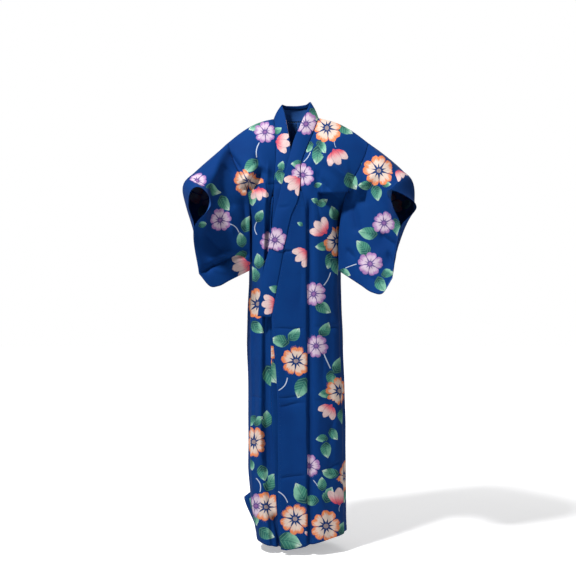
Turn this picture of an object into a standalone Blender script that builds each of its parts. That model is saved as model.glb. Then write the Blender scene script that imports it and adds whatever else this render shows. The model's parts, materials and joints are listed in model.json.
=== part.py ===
# Cotton yukata robe, standing open and hollow as it hangs on a wearer's shoulders.
# Metres, +Z up. The wearer's front faces -Y and the wearer's left is +X.
# The origin lies midway between the two points where the shoulders meet the neck.
# Every panel is a sheet of points lofted through a few sections, folded by the fold tables,
# and then given its wall by a Solidify modifier.

from collections import namedtuple
from math import asin, pi

import bpy
import numpy as np

# ---------------------------------------------------------------- driving sizes, in metres

PANEL_WALL = 0.0015         # one layer of cotton with its folded seam edges
COLLAR_WALL = 0.0026        # the collar band is folded double
OVER_COLLAR_WALL = 0.0010   # one more layer round the collar
SEAM_GAP = 0.0005           # between the middles of two sewn edges, so that their corners clear
SIDE_GAP = 0.0005           # each side of the side seam, where front and back are one piece
ARMHOLE_GAP = 0.0024        # the sleeve meets the body at an angle, so its edge stands further off
NECK_GAP = 0.0046           # the collar stands on edge on the shoulders
BAND_GAP = 0.0010           # the collar lies beside the fronts
LAP_GAP = 0.0023            # and slants across the overlap panels
NECK_GAP_END = -0.15        # height where the collar lies flat beside the front

# Where the columns lie across a front or an overlap panel, as shares of its width. They stand
# closer together beside the seam that has the deep hollow.
FRONT_SHARES = (
    0.0, 0.016, 0.034, 0.056, 0.085, 0.125, 0.185, 0.26, 0.34, 0.43, 0.53, 0.64, 0.76, 0.88, 1.0,
)
OVERLAP_SHARES = (0.0, 0.03, 0.07, 0.15, 0.35, 0.60, 0.80, 1.0)
PANEL_COLUMNS = len(FRONT_SHARES) - 1
NECK_COLUMNS = 5            # columns of the back that end at the neck
EVEN_ROWS = 2               # rows below the shoulders whose columns are evenly spaced
SNAP_COLUMNS = 4            # columns that follow the collar seam
COLLAR_COLUMNS = 3          # columns across the collar band
SLEEVE_COLUMNS = 13         # columns from the armhole to the cuff
SLEEVE_ROWS = 13            # rows down one layer of a sleeve
SLEEVE_CROWD = 1.25         # above one, the rows stand closer together near the arm

# How far down the panel each band of rows ends, and how many rows it has
Band = namedtuple("Band", "end rows")
FRONT_BANDS = (Band(0.17, 5), Band(0.37, 15), Band(1.00, 8), Band(1.42, 5))
BACK_BANDS = (Band(0.17, 5), Band(0.37, 4), Band(1.00, 7), Band(1.42, 5))
# The last band of both runs to the hem
HEM_ROWS = 7
PATH_POINTS = 80            # points on a curve before the columns are spread along it

# ---------------------------------------------------------------- the hanging column

# Half widths to the wearer's left and right of the middle, and the depths of the front layer that
# lies on top, of the one under it and of the back
Level = namedtuple("Level", "z left right top under back")
LEVELS = (
    Level(-0.42, 0.163, 0.177, 0.138, 0.124, 0.118),
    Level(-0.60, 0.163, 0.179, 0.140, 0.125, 0.122),
    Level(-0.82, 0.170, 0.186, 0.142, 0.126, 0.126),
    Level(-1.05, 0.178, 0.182, 0.144, 0.127, 0.130),
    Level(-1.28, 0.181, 0.182, 0.147, 0.128, 0.132),
    Level(-1.42, 0.183, 0.172, 0.149, 0.130, 0.133),
    Level(-1.56, 0.184, 0.150, 0.151, 0.132, 0.134),
)
LEFT_SQUARE = 2.6           # how square each front corner of the column is, 2 being an ellipse
RIGHT_SQUARE = 3.2
BACK_SQUARE = 2.5

# Where the seam between front and overlap panel runs, for each side
SeamAt = namedtuple("SeamAt", "z left right")
OVERLAP_SEAM = (
    SeamAt(-0.30, 0.028, -0.099),
    SeamAt(-0.42, 0.034, -0.100),
    SeamAt(-0.70, 0.036, -0.097),
    SeamAt(-1.05, 0.036, -0.094),
    SeamAt(-1.25, 0.036, -0.088),
    SeamAt(-1.45, 0.037, -0.074),
    SeamAt(-1.62, 0.037, -0.062),
)

# The hem round the column: its height over the wearer's front, sides and back
HemAt = namedtuple("HemAt", "x front back")
HEM = (
    HemAt(-0.18, -1.548, -1.542),
    HemAt(-0.15, -1.562, -1.540),
    HemAt(-0.10, -1.573, -1.540),
    HemAt(-0.04, -1.582, -1.541),
    HemAt(0.01, -1.573, -1.541),
    HemAt(0.08, -1.553, -1.540),
    HemAt(0.14, -1.540, -1.538),
    HemAt(0.185, -1.534, -1.534),
)

# ---------------------------------------------------------------- collar band

# The band's sewn edge and its free edge at each station, from the back of the neck forwards
BandAt = namedtuple("BandAt", "place seam free")
LEFT_BAND = (
    BandAt("nape", (0.000, 0.090, -0.002), (0.000, 0.073, 0.054)),
    BandAt("behind neck", (0.046, 0.074, 0.000), (0.034, 0.062, 0.057)),
    BandAt("beside neck", (0.077, 0.026, 0.003), (0.050, 0.022, 0.060)),
    BandAt("shoulder", (0.072, -0.018, -0.025), (0.034, -0.010, 0.017)),
    BandAt("collar bone", (0.058, -0.045, -0.063), (0.014, -0.045, -0.033)),
    BandAt("chest", (0.032, -0.090, -0.131), (-0.010, -0.084, -0.093)),
    BandAt("breast", (0.013, -0.112, -0.190), (-0.027, -0.104, -0.152)),
    BandAt("ribs", (0.012, -0.126, -0.255), (-0.042, -0.121, -0.218)),
    BandAt("waist", (0.002, -0.134, -0.322), (-0.060, -0.131, -0.290)),
    BandAt("below waist", (-0.020, -0.138, -0.372), (-0.074, -0.136, -0.348)),
    BandAt("hip bone", (-0.036, -0.140, -0.440), (-0.090, -0.139, -0.418)),
    BandAt("hip", (-0.051, -0.142, -0.510), (-0.103, -0.141, -0.492)),
    BandAt("seat", (-0.064, -0.143, -0.580), (-0.121, -0.142, -0.566)),
    BandAt("thigh", (-0.079, -0.143, -0.660), (-0.133, -0.142, -0.648)),
    BandAt("end", (-0.094, -0.143, -0.741), (-0.144, -0.142, -0.738)),
)
RIGHT_BAND = (
    BandAt("behind neck", (-0.050, 0.074, -0.001), (-0.039, 0.062, 0.053)),
    BandAt("beside neck", (-0.083, 0.024, 0.001), (-0.057, 0.020, 0.050)),
    BandAt("shoulder", (-0.083, -0.020, -0.028), (-0.048, -0.014, 0.012)),
    BandAt("collar bone", (-0.081, -0.048, -0.068), (-0.041, -0.042, -0.026)),
    BandAt("chest", (-0.078, -0.080, -0.131), (-0.030, -0.076, -0.093)),
    BandAt("breast", (-0.080, -0.097, -0.195), (-0.023, -0.094, -0.160)),
    BandAt("ribs", (-0.085, -0.105, -0.265), (-0.025, -0.105, -0.235)),
    BandAt("waist", (-0.089, -0.108, -0.340), (-0.030, -0.109, -0.315)),
    BandAt("hip bone", (-0.091, -0.109, -0.430), (-0.034, -0.111, -0.405)),
    BandAt("hip", (-0.072, -0.110, -0.520), (-0.016, -0.112, -0.490)),
    BandAt("seat", (-0.040, -0.111, -0.610), (0.014, -0.112, -0.580)),
    BandAt("end", (0.020, -0.112, -0.741), (0.070, -0.110, -0.716)),
)
BAND_ROWS = 3               # rows from one station of the band to the next
BAND_BELLY = 0.003          # how far the middle of the band stands out
OVER_COLLAR_END = -0.502    # height where the over-collar stops on both sides
OVER_COLLAR_GAP = 0.0012    # air between the band and the over-collar round it
OVER_COLLAR_TURN = 0.012    # how far the over-collar reaches back on the inner side
OVER_COLLAR_INSET = 0.004   # how far it starts from the band's sewn edge

# ---------------------------------------------------------------- shoulders and chest

# Rows of the front and back above the column, each from the collar or centre-back seam out to the
# armhole, with how far its middle stands forward and up. The inner end of a front row is the
# collar seam at that height.
FrontRow = namedtuple("FrontRow", "inner_z outer forward up")
LEFT_FRONT = (
    FrontRow(-0.063, (0.250, -0.082, -0.145), 0.008, 0.014),
    FrontRow(-0.131, (0.228, -0.104, -0.195), 0.014, 0.006),
    FrontRow(-0.190, (0.203, -0.113, -0.243), 0.014, 0.000),
    FrontRow(-0.255, (0.181, -0.108, -0.290), 0.018, 0.000),
)
RIGHT_FRONT = (
    FrontRow(-0.068, (-0.243, -0.082, -0.145), 0.008, 0.014),
    FrontRow(-0.131, (-0.222, -0.102, -0.197), 0.014, 0.006),
    FrontRow(-0.195, (-0.199, -0.108, -0.243), 0.014, 0.000),
    FrontRow(-0.265, (-0.181, -0.100, -0.290), 0.016, 0.000),
)
BackRow = namedtuple("BackRow", "inner outer backward up")
BACK = (
    BackRow((0.0, 0.103, -0.062), (0.250, -0.005, -0.140), 0.034, 0.016),
    BackRow((0.0, 0.113, -0.130), (0.230, 0.034, -0.190), 0.025, 0.008),
    BackRow((0.0, 0.119, -0.200), (0.207, 0.060, -0.240), 0.019, 0.003),
    BackRow((0.0, 0.121, -0.270), (0.184, 0.066, -0.292), 0.020, 0.000),
)
SHOULDER_TIP = {1: (0.261, -0.055, -0.101), -1: (-0.255, -0.055, -0.101)}
SHOULDER_ARCH = 0.021       # how far the shoulder line arches up and back between neck and sleeve
NECK_POINT = {1: (0.0775, 0.006, 0.000), -1: (-0.0835, 0.004, -0.003)}
NECK_AXIS = (0.0, 0.020, 0.0)

# Below the armhole the front and back part in an open slit down to the side seam. The row half
# way down it lies less deep than the column below it, and a little further out.
UnderarmRow = namedtuple("UnderarmRow", "z front_y back_y belly outward top_less under_less back_more")
UNDERARM = UnderarmRow(-0.350, -0.062, 0.034, 0.030, 0.006, 0.006, 0.012, 0.002)
ARMHOLE_BOTTOM = LEFT_FRONT[-1].outer[2]
ARMHOLE_MARGIN = {"front": 0.004, "back": 0.006}    # how far below it an armhole row may lie

# ---------------------------------------------------------------- free edge of the overlap panels

EdgeAt = namedtuple("EdgeAt", "z left right")
FREE_EDGE = (
    EdgeAt(-0.741, -0.094, 0.020),
    EdgeAt(-0.83, -0.088, 0.024),
    EdgeAt(-0.94, -0.077, 0.025),
    EdgeAt(-1.08, -0.071, 0.024),
    EdgeAt(-1.30, -0.070, 0.026),
    EdgeAt(-1.52, -0.069, 0.030),
    EdgeAt(-1.60, -0.052, 0.032),
)
OVERLAP_TOP = {1: -0.262, -1: -0.275}       # height of the overlap panels' pointed tops
OVERLAP_POINT = 0.003                       # width where the pointed top is turned under
POINT_LENGTH = 0.09                         # length of the pointed top
HELD_WIDTH = 0.020                          # the collar keeps this much of a panel free of folds
UNDER_DEPTH = 0.111                         # how far forward the under overlap's edge lies

# ---------------------------------------------------------------- folds

# Long folds run from a top to a foot point, seen from the front. Rise is how far the crest stands
# out, or below zero how deep the hollow is. Width is its half width.
Fold = namedtuple("Fold", "top_x top_z foot_x foot_z rise width")
TOP_LAYER_FOLDS = (
    Fold(0.0425, -0.300, 0.0445, -1.62, -0.017, 0.0085),    # hollow beside the overlap seam
    Fold(0.072, -0.340, 0.078, -1.62, 0.004, 0.016),
    Fold(0.118, -0.420, 0.122, -1.62, -0.004, 0.014),
    Fold(0.070, -0.140, 0.206, -0.276, 0.010, 0.022),       # crest over the armpit sag
    Fold(-0.020, -0.900, -0.012, -1.62, -0.003, 0.025),
)
UNDER_LAYER_FOLDS = (
    Fold(-0.113, -0.160, -0.137, -1.30, 0.017, 0.0140),     # standing pleat beside the lap
    Fold(-0.104, -0.360, -0.118, -0.80, -0.018, 0.0120),    # deep hollow beside the pleat
    Fold(-0.118, -0.730, -0.118, -1.20, -0.018, 0.0120),    # the same hollow lower down
    Fold(-0.118, -1.130, -0.088, -1.62, -0.018, 0.0130),    # and drifting inwards to the hem
    Fold(-0.160, -0.600, -0.156, -1.40, -0.006, 0.0090),
)
BACK_FOLDS = (
    Fold(0.050, -0.180, 0.062, -1.60, -0.011, 0.018),
    Fold(-0.055, -0.200, -0.047, -1.60, -0.010, 0.020),
    Fold(0.112, -0.300, 0.120, -1.60, 0.009, 0.018),
    Fold(-0.118, -0.330, -0.108, -1.60, 0.010, 0.018),
    Fold(0.148, -0.500, 0.150, -1.60, -0.006, 0.012),
    Fold(-0.150, -0.560, -0.140, -1.60, -0.006, 0.012),
)
# Side folds give their place along y in place of x
LEFT_SIDE_FOLDS = (
    Fold(-0.062, -0.500, -0.055, -1.60, -0.006, 0.016),
    Fold(0.050, -0.520, 0.058, -1.60, -0.007, 0.018),
)
RIGHT_SIDE_FOLDS = (
    Fold(-0.060, -0.520, -0.052, -1.40, -0.006, 0.016),
    Fold(0.045, -0.500, 0.040, -1.36, -0.007, 0.018),
)
FOLD_FADE = 0.07            # length over which a long fold starts and ends
FACE_START = 0.020          # how far from the middle of the sides front and back folds begin
FACE_FADE = 0.050
SIDE_START = 0.125
SIDE_FADE = 0.040

# A sag hangs over the cloth below it along an edge, seen from the front. It stands out by lift
# above the edge and sinks by sink under it, dying away over the lengths above and below. Its edge
# laps down by lap, its ends fade over fade, and it turns under over step.
Sag = namedtuple("Sag", "side start end lift sink above below lap fade step")
SAGS = (
    Sag(1, (0.068, -0.282), (0.200, -0.275), 0.016, 0.024, 0.070, 0.045, 0.012, 0.024, 0.016),
    Sag(-1, (-0.200, -0.268), (-0.141, -0.176), 0.013, 0.017, 0.045, 0.045, 0.001, 0.028, 0.030),
)
LAP_REACH = 3.0             # how many times its own size a lap is felt away from the edge
TUCK_SHARE = 0.6            # how much of the lap the cloth under the edge moves up
SAG_START = 0.040           # only cloth this far in front of the shoulders sags
SAG_FADE = 0.030

# The lower right side flares out behind in a corner, between the two depths given last
Flare = namedtuple("Flare", "top foot out step first_y first_fade last_y last_fade")
FLARE = Flare(-1.400, -1.56, 0.034, 0.025, -0.01, 0.03, 0.09, 0.05)

# ---------------------------------------------------------------- sleeves

# Sections of a sleeve from the armhole to the cuff. Top is on the fold over the arm, front and
# back where the two layers hang clear of the arm, low half way down, hang at the bottom edge.
# The last two are half the space between the layers at low and at hang.
Section = namedtuple("Section", "share top front back low hang low_gap hang_gap")
CLOSED = 0.0020
LEFT_SLEEVE = (
    Section(0.30, (0.316, -0.092, -0.148), (0.283, -0.158, -0.221), (0.345, 0.002, -0.221),
            (0.262, -0.118, -0.430), (0.226, -0.150, -0.625), 0.034, CLOSED),
    Section(0.58, (0.367, -0.132, -0.204), (0.316, -0.198, -0.278), (0.408, -0.060, -0.278),
            (0.326, -0.150, -0.460), (0.268, -0.190, -0.653), 0.028, CLOSED),
    Section(0.80, (0.384, -0.190, -0.243), (0.328, -0.234, -0.310), (0.424, -0.128, -0.310),
            (0.356, -0.188, -0.470), (0.303, -0.206, -0.654), 0.014, CLOSED),
    Section(1.00, (0.324, -0.280, -0.295), (0.331, -0.262, -0.346), (0.422, -0.203, -0.346),
            (0.361, -0.233, -0.425), (0.335, -0.215, -0.602), CLOSED, CLOSED),
)
RIGHT_SLEEVE = (
    Section(0.30, (-0.308, -0.092, -0.156), (-0.282, -0.162, -0.221), (-0.343, 0.000, -0.221),
            (-0.270, -0.112, -0.430), (-0.240, -0.148, -0.607), 0.034, CLOSED),
    Section(0.58, (-0.357, -0.130, -0.210), (-0.308, -0.208, -0.278), (-0.400, -0.062, -0.278),
            (-0.325, -0.150, -0.450), (-0.283, -0.186, -0.630), 0.028, CLOSED),
    Section(0.80, (-0.384, -0.176, -0.248), (-0.312, -0.256, -0.309), (-0.410, -0.136, -0.309),
            (-0.350, -0.196, -0.470), (-0.313, -0.204, -0.628), 0.015, CLOSED),
    Section(1.00, (-0.350, -0.290, -0.285), (-0.302, -0.292, -0.345), (-0.384, -0.245, -0.345),
            (-0.364, -0.244, -0.425), (-0.349, -0.214, -0.585), CLOSED, CLOSED),
)
# The sleeve's inner edge hangs free below the armhole: half way down its front and back layers,
# and the bottom where they are sewn together
InnerEdge = namedtuple("InnerEdge", "front_low back_low hang")
INNER_EDGE = {
    1: InnerEdge((0.174, -0.100, -0.430), (0.198, 0.008, -0.430), (0.164, -0.090, -0.572)),
    -1: InnerEdge((-0.182, -0.090, -0.430), (-0.212, 0.010, -0.430), (-0.180, -0.086, -0.571)),
}

CLOTH_COLOUR = (0.028, 0.085, 0.290, 1.0)
CLOTH_ROUGHNESS = 0.85


# ---------------------------------------------------------------- shared maths

def smooth_step(value):
    value = np.clip(value, 0.0, 1.0)
    return value * value * (3.0 - 2.0 * value)


def chord_knots(points):
    steps = np.linalg.norm(np.diff(points, axis=0), axis=1)
    return np.concatenate(([0.0], np.cumsum(steps)))


def curve_at(points, knots, places, level=False):
    """Points on a smooth curve that passes each given point at its knot. A level curve never
    swings past the points it joins."""
    points = np.asarray(points, dtype=float)
    slopes = np.gradient(points, knots, axis=0)
    if level:
        steps = np.diff(points, axis=0) / np.diff(knots).reshape((-1,) + (1,) * (points.ndim - 1))
        least = np.minimum(np.abs(steps[1:]), np.abs(steps[:-1])) * 3.0
        turning = steps[1:] * steps[:-1] <= 0.0
        inner = np.clip(slopes[1:-1], -least, least)
        slopes[1:-1] = np.where(turning, 0.0, inner)
    places = np.asarray(places, dtype=float)
    first = np.clip(np.searchsorted(knots, places, side="right") - 1, 0, len(knots) - 2)
    span = knots[first + 1] - knots[first]
    share = (places - knots[first]) / span
    shape = (len(places),) + (1,) * (points.ndim - 1)
    s = share.reshape(shape)
    h = span.reshape(shape)
    start = (2 * s ** 3 - 3 * s ** 2 + 1) * points[first] + (s ** 3 - 2 * s ** 2 + s) * h * slopes[first]
    end = (3 * s ** 2 - 2 * s ** 3) * points[first + 1] + (s ** 3 - s ** 2) * h * slopes[first + 1]
    return start + end


def spread(points, shares, start_gap, end_gap):
    """Points at the given shares of a path, held back from its two ends."""
    knots = chord_knots(points)
    places = start_gap + np.asarray(shares) * (knots[-1] - start_gap - end_gap)
    return np.stack([np.interp(places, knots, points[:, axis]) for axis in range(3)], axis=1)


def even(count):
    return np.linspace(0.0, 1.0, count + 1)


def table_value(table, column, z):
    """A table's column at any height. The tables run downwards."""
    heights = [-row.z for row in table]
    values = [getattr(row, column) for row in table]
    return np.interp(-np.asarray(z), heights, values)


# ---------------------------------------------------------------- collar line

def band_edges():
    """The band's sewn and free edges from the right end round the neck, their knots, and the
    knot of the nape."""
    rows = RIGHT_BAND[::-1] + LEFT_BAND
    seam = np.array([row.seam for row in rows])
    free = np.array([row.free for row in rows])
    knots = chord_knots((seam + free) / 2)
    return seam, free, knots, knots[len(RIGHT_BAND)]


def seam_line(side, count=240):
    """The collar seam from the nape forwards to one end."""
    seam, _, knots, nape = band_edges()
    return curve_at(seam, knots, np.linspace(nape, knots[-1] if side > 0 else 0.0, count))


def collar_seam(side, z):
    """Point of the collar seam at a height on the front."""
    edge = seam_line(side)
    front = edge[np.argmax(edge[:, 2]):]
    return np.array([np.interp(-z, -front[:, 2], front[:, axis]) for axis in range(3)])


# ---------------------------------------------------------------- folds

def fold_lift(folds, across, z):
    total = np.zeros_like(z)
    for fold in folds:
        share = (fold.top_z - z) / (fold.top_z - fold.foot_z)
        middle = fold.top_x + (fold.foot_x - fold.top_x) * np.clip(share, 0.0, 1.0)
        length = fold.top_z - fold.foot_z
        fade = smooth_step(share * length / FOLD_FADE) * smooth_step((1.0 - share) * length / FOLD_FADE)
        total += fold.rise * fade * np.exp(-((across - middle) / fold.width) ** 2)
    return total


def sag_shift(side, points):
    """Forward and sideways moves that make the sags above the armholes."""
    shift = np.zeros_like(points)
    for sag in SAGS:
        if sag.side != side:
            continue
        start = np.array(sag.start)
        run = np.array(sag.end) - start
        length = np.linalg.norm(run)
        run = run / length
        upward = np.array((-run[1], run[0]))
        flat = points[..., (0, 2)] - start
        along = flat @ run
        height = flat @ upward
        ends = smooth_step(along / sag.fade) * smooth_step((length - along) / sag.fade)
        front = smooth_step((-points[..., 1] - SAG_START) / SAG_FADE)
        above = smooth_step((height + sag.step) / sag.step)
        below = 1.0 - above
        under = height + sag.step
        forward = above * sag.lift * np.exp(-(height / sag.above) ** 2)
        forward -= below * sag.sink * np.exp(-(under / sag.below) ** 2)
        reach = LAP_REACH * sag.lap
        slide = TUCK_SHARE * below * np.exp(-(under / reach) ** 2)
        slide -= above * np.exp(-(height / reach) ** 2)
        weight = ends * front
        shift[..., 1] -= forward * weight
        shift[..., 0] += slide * sag.lap * weight * upward[0]
        shift[..., 2] += slide * sag.lap * weight * upward[1]
    return shift


def folded(side, layer, points):
    """Moves a panel's smooth points into its folds."""
    x, y, z = points[..., 0], points[..., 1], points[..., 2]
    front_folds = TOP_LAYER_FOLDS if layer == "top" else UNDER_LAYER_FOLDS
    front = np.clip((-y - FACE_START) / FACE_FADE, 0.0, 1.0)
    back = np.clip((y - FACE_START) / FACE_FADE, 0.0, 1.0)
    flank = np.clip((np.abs(x) - SIDE_START) / SIDE_FADE, 0.0, 1.0)
    side_folds = LEFT_SIDE_FOLDS if side > 0 else RIGHT_SIDE_FOLDS
    moved = points.copy()
    moved[..., 1] -= front * fold_lift(front_folds, x, z)
    moved[..., 1] += back * fold_lift(BACK_FOLDS, x, z)
    moved[..., 0] += side * flank * fold_lift(side_folds, y, z)
    moved += sag_shift(side, points)
    if side < 0:
        drop = (FLARE.top - z) / (FLARE.top - FLARE.foot)
        swell = smooth_step((FLARE.top - z) / FLARE.step) * np.clip(1.0 - drop, 0.0, 1.0)
        behind = smooth_step((y - FLARE.first_y) / FLARE.first_fade)
        behind = behind * smooth_step((FLARE.last_y - y) / FLARE.last_fade)
        moved[..., 0] -= FLARE.out * swell * behind * flank
    return moved


# ---------------------------------------------------------------- body lengths

def corner_path(inner_x, half_width, depth, square, facing):
    """A quarter of the column's outline, from the inner seam round to the side seam."""
    first = asin(min(inner_x / half_width, 1.0) ** (square / 2.0))
    angle = np.linspace(first, pi / 2, PATH_POINTS)
    x = half_width * np.sin(angle) ** (2.0 / square)
    y = facing * depth * np.clip(np.cos(angle), 0.0, 1.0) ** (2.0 / square)
    return np.stack((x, y, np.zeros_like(x)), axis=1)


def neck_gap(z):
    return BAND_GAP + (NECK_GAP - BAND_GAP) * smooth_step((z - NECK_GAP_END) / -NECK_GAP_END)


def shoulder_row(side):
    neck = np.array(NECK_POINT[side])
    tip = np.array(SHOULDER_TIP[side])
    share = np.linspace(0.0, 1.0, PATH_POINTS)[:, None]
    arch = np.sin(pi * share) * np.array((0.0, SHOULDER_ARCH, SHOULDER_ARCH))
    return spread(neck + (tip - neck) * share + arch, even(PANEL_COLUMNS), NECK_GAP, SEAM_GAP)


def bowed_row(inner, outer, push, up, shares, gap):
    share = np.linspace(0.0, 1.0, PATH_POINTS)[:, None]
    bow = np.sin(pi * share) * np.array((0.0, push, up))
    inner = np.array(inner)
    return spread(inner + (np.array(outer) - inner) * share + bow, shares, gap, SEAM_GAP)


def underarm_row(side, facing, shares):
    """The row half way down the open slit under the arm."""
    level = LEVELS[0]
    half_width = level.left if side > 0 else level.right
    edge = UNDERARM.front_y if facing < 0 else UNDERARM.back_y
    outer = np.array((side * (half_width + UNDERARM.outward), edge, UNDERARM.z))
    if facing < 0:
        seam_x = table_value(OVERLAP_SEAM, "left" if side > 0 else "right", UNDERARM.z)
        depth = level.top - UNDERARM.top_less if side > 0 else level.under - UNDERARM.under_less
        inner = np.array((seam_x, -depth, UNDERARM.z))
    else:
        inner = np.array((0.0, level.back + UNDERARM.back_more, UNDERARM.z))
    return bowed_row(inner, outer, facing * UNDERARM.belly, 0.0, shares, SEAM_GAP / 2)


def column_row(level, side, facing, shares):
    half_width = level.left if side > 0 else level.right
    if facing < 0:
        depth = level.top if side > 0 else level.under
        square = LEFT_SQUARE if side > 0 else RIGHT_SQUARE
        seam_x = table_value(OVERLAP_SEAM, "left" if side > 0 else "right", level.z)
        path = corner_path(abs(seam_x), half_width, depth, square, facing)
    else:
        path = corner_path(0.0, half_width, level.back, BACK_SQUARE, facing)
    path[:, 0] *= side
    path[:, 2] = level.z
    row = spread(path, shares, SEAM_GAP / 2, SIDE_GAP)
    if level is LEVELS[-1]:
        row[:, 2] = hem_height(row[:, 0], facing)
    return row


def hem_height(x, facing):
    places = [row.x for row in HEM]
    front = np.interp(x, places, [row.front for row in HEM])
    back = np.interp(x, places, [row.back for row in HEM])
    return front if facing < 0 else back


def bands_down(bands, total):
    """Distances of the rows from the shoulder line down to the hem."""
    stops = [0.0]
    for band in bands:
        stops.extend(np.linspace(stops[-1], band.end, band.rows + 1)[1:])
    stops.extend(np.linspace(stops[-1], total, HEM_ROWS + 1)[1:])
    return np.array(stops)


def front_sections(side):
    rows = LEFT_FRONT if side > 0 else RIGHT_FRONT
    sections = [shoulder_row(side)]
    for number, row in enumerate(rows):
        inner = collar_seam(side, row.inner_z)
        gap = neck_gap(row.inner_z)
        shares = even(PANEL_COLUMNS) if number < EVEN_ROWS else FRONT_SHARES
        sections.append(bowed_row(inner, row.outer, -row.forward, row.up, shares, gap))
    sections.append(underarm_row(side, -1, FRONT_SHARES))
    sections += [column_row(level, side, -1, FRONT_SHARES) for level in LEVELS]
    return np.array(sections)


def follow_collar(side, grid):
    """Moves the front's inner columns so that they keep beside the collar seam."""
    for row in grid[1:]:
        if row[0, 2] < OVERLAP_TOP[side]:
            break
        across = row[1] - row[0]
        across /= np.linalg.norm(across)
        beside = collar_seam(side, row[0, 2]) + across * neck_gap(row[0, 2])
        shift = beside - row[0]
        for column in range(SNAP_COLUMNS):
            row[column] += shift * (1.0 - column / SNAP_COLUMNS) ** 2
    return grid


def back_sections(side):
    count = NECK_COLUMNS + PANEL_COLUMNS
    seam = seam_line(side)
    neck = seam[seam[:, 1] > NECK_POINT[side][1]]
    hollow = spread(neck, even(NECK_COLUMNS), 0.0, 0.0)[:-1]
    away = hollow - np.array(NECK_AXIS)
    away[:, 2] = -np.linalg.norm(away[:, :2], axis=1)
    hollow += away / np.linalg.norm(away, axis=1, keepdims=True) * NECK_GAP
    sections = [np.concatenate((hollow, shoulder_row(side)))]
    for row in BACK:
        outer = (side * row.outer[0], row.outer[1], row.outer[2])
        sections.append(bowed_row(row.inner, outer, row.backward, row.up, even(count), 0.0))
    sections.append(underarm_row(side, 1, even(count)))
    sections += [column_row(level, side, 1, even(count)) for level in LEVELS]
    for row in sections:
        row[0, 0] = side * SEAM_GAP / 2
    return np.array(sections)


def body_length(side):
    """Front and back grids of one body length. They share the shoulder row."""
    front = front_sections(side)
    back = back_sections(side)
    middle = PANEL_COLUMNS // 2
    front_knots = chord_knots(front[:, middle])
    back_knots = chord_knots(back[:, NECK_COLUMNS + middle])
    both = np.concatenate((front[::-1], back[1:, NECK_COLUMNS:]))
    knots = np.concatenate((-front_knots[::-1], back_knots[1:]))
    front_stops = bands_down(FRONT_BANDS, front_knots[-1])
    back_stops = bands_down(BACK_BANDS, back_knots[-1])
    front_grid = follow_collar(side, curve_at(both, knots, -front_stops, level=True))
    back_outer = curve_at(both, knots, back_stops, level=True)
    back_inner = curve_at(back[:, :NECK_COLUMNS], back_knots, back_stops, level=True)
    back_grid = np.concatenate((back_inner, back_outer), axis=1)
    layer = "top" if side > 0 else "under"
    return front_grid, back_grid, layer


# ---------------------------------------------------------------- overlap panels

def overlap_panel(side, front_grid):
    """Rows run from the front panel's seam to the collar seam, or to the free edge below it."""
    top = OVERLAP_TOP[side]
    rows = []
    for seam in front_grid[:, 0]:
        if seam[2] > top:
            continue
        near_top = smooth_step((seam[2] - top + POINT_LENGTH) / POINT_LENGTH)
        gap = SEAM_GAP + (LAP_GAP - SEAM_GAP) * near_top
        seam = seam - np.array((side * gap, 0.0, 0.0))
        z = seam[2]
        end_z = FREE_EDGE[0].z
        if z > end_z:
            edge = collar_seam(side, z)
            edge[0] += side * LAP_GAP
        else:
            x = table_value(FREE_EDGE, "left" if side > 0 else "right", z)
            edge = np.array((x, collar_seam(side, end_z)[1], z))
        if side < 0:
            edge[1] = -UNDER_DEPTH
        if side * (seam[0] - edge[0]) < OVERLAP_POINT:
            continue
        share = np.array(OVERLAP_SHARES)
        row = seam + (edge - seam) * share[:, None]
        row[:, 1] = seam[1] + (edge[1] - seam[1]) * share ** 2
        rows.append(row)
    grid = np.array(rows)
    grid[-1, :, 2] = hem_height(grid[-1, :, 0], -1)
    return grid


def held_flat(panel, moved):
    """Takes the folds out of a panel beside the collar band, which holds its edge flat."""
    off_edge = np.linalg.norm(panel - panel[:, -1:], axis=2)
    below = (FREE_EDGE[0].z - panel[..., 2]) / HELD_WIDTH
    loose = np.maximum(smooth_step(off_edge / HELD_WIDTH), smooth_step(below))
    return panel + (moved - panel) * loose[..., None]


# ---------------------------------------------------------------- collar and over-collar

def band_places():
    """Where the rows of the band lie along it, more closely round the neck."""
    knots = band_edges()[2]
    stations = np.arange(len(knots))
    steps = np.linspace(0.0, stations[-1], stations[-1] * BAND_ROWS + 1)
    return np.interp(steps, stations, knots)


def band_points(places):
    """Grid along the collar band, from the right end round the neck to the left end."""
    seam, free, knots, _ = band_edges()
    seam = curve_at(seam, knots, places)
    free = curve_at(free, knots, places)
    share = np.linspace(0.0, 1.0, COLLAR_COLUMNS + 1)[None, :, None]
    flat = seam[:, None] + (free - seam)[:, None] * share
    outward = grid_normals(flat)
    return flat + outward * (BAND_BELLY * np.sin(pi * share)), outward


def grid_normals(grid):
    down = np.gradient(grid, axis=0)
    across = np.gradient(grid, axis=1)
    normals = np.cross(across, down)
    return normals / np.linalg.norm(normals, axis=2, keepdims=True)


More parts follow.
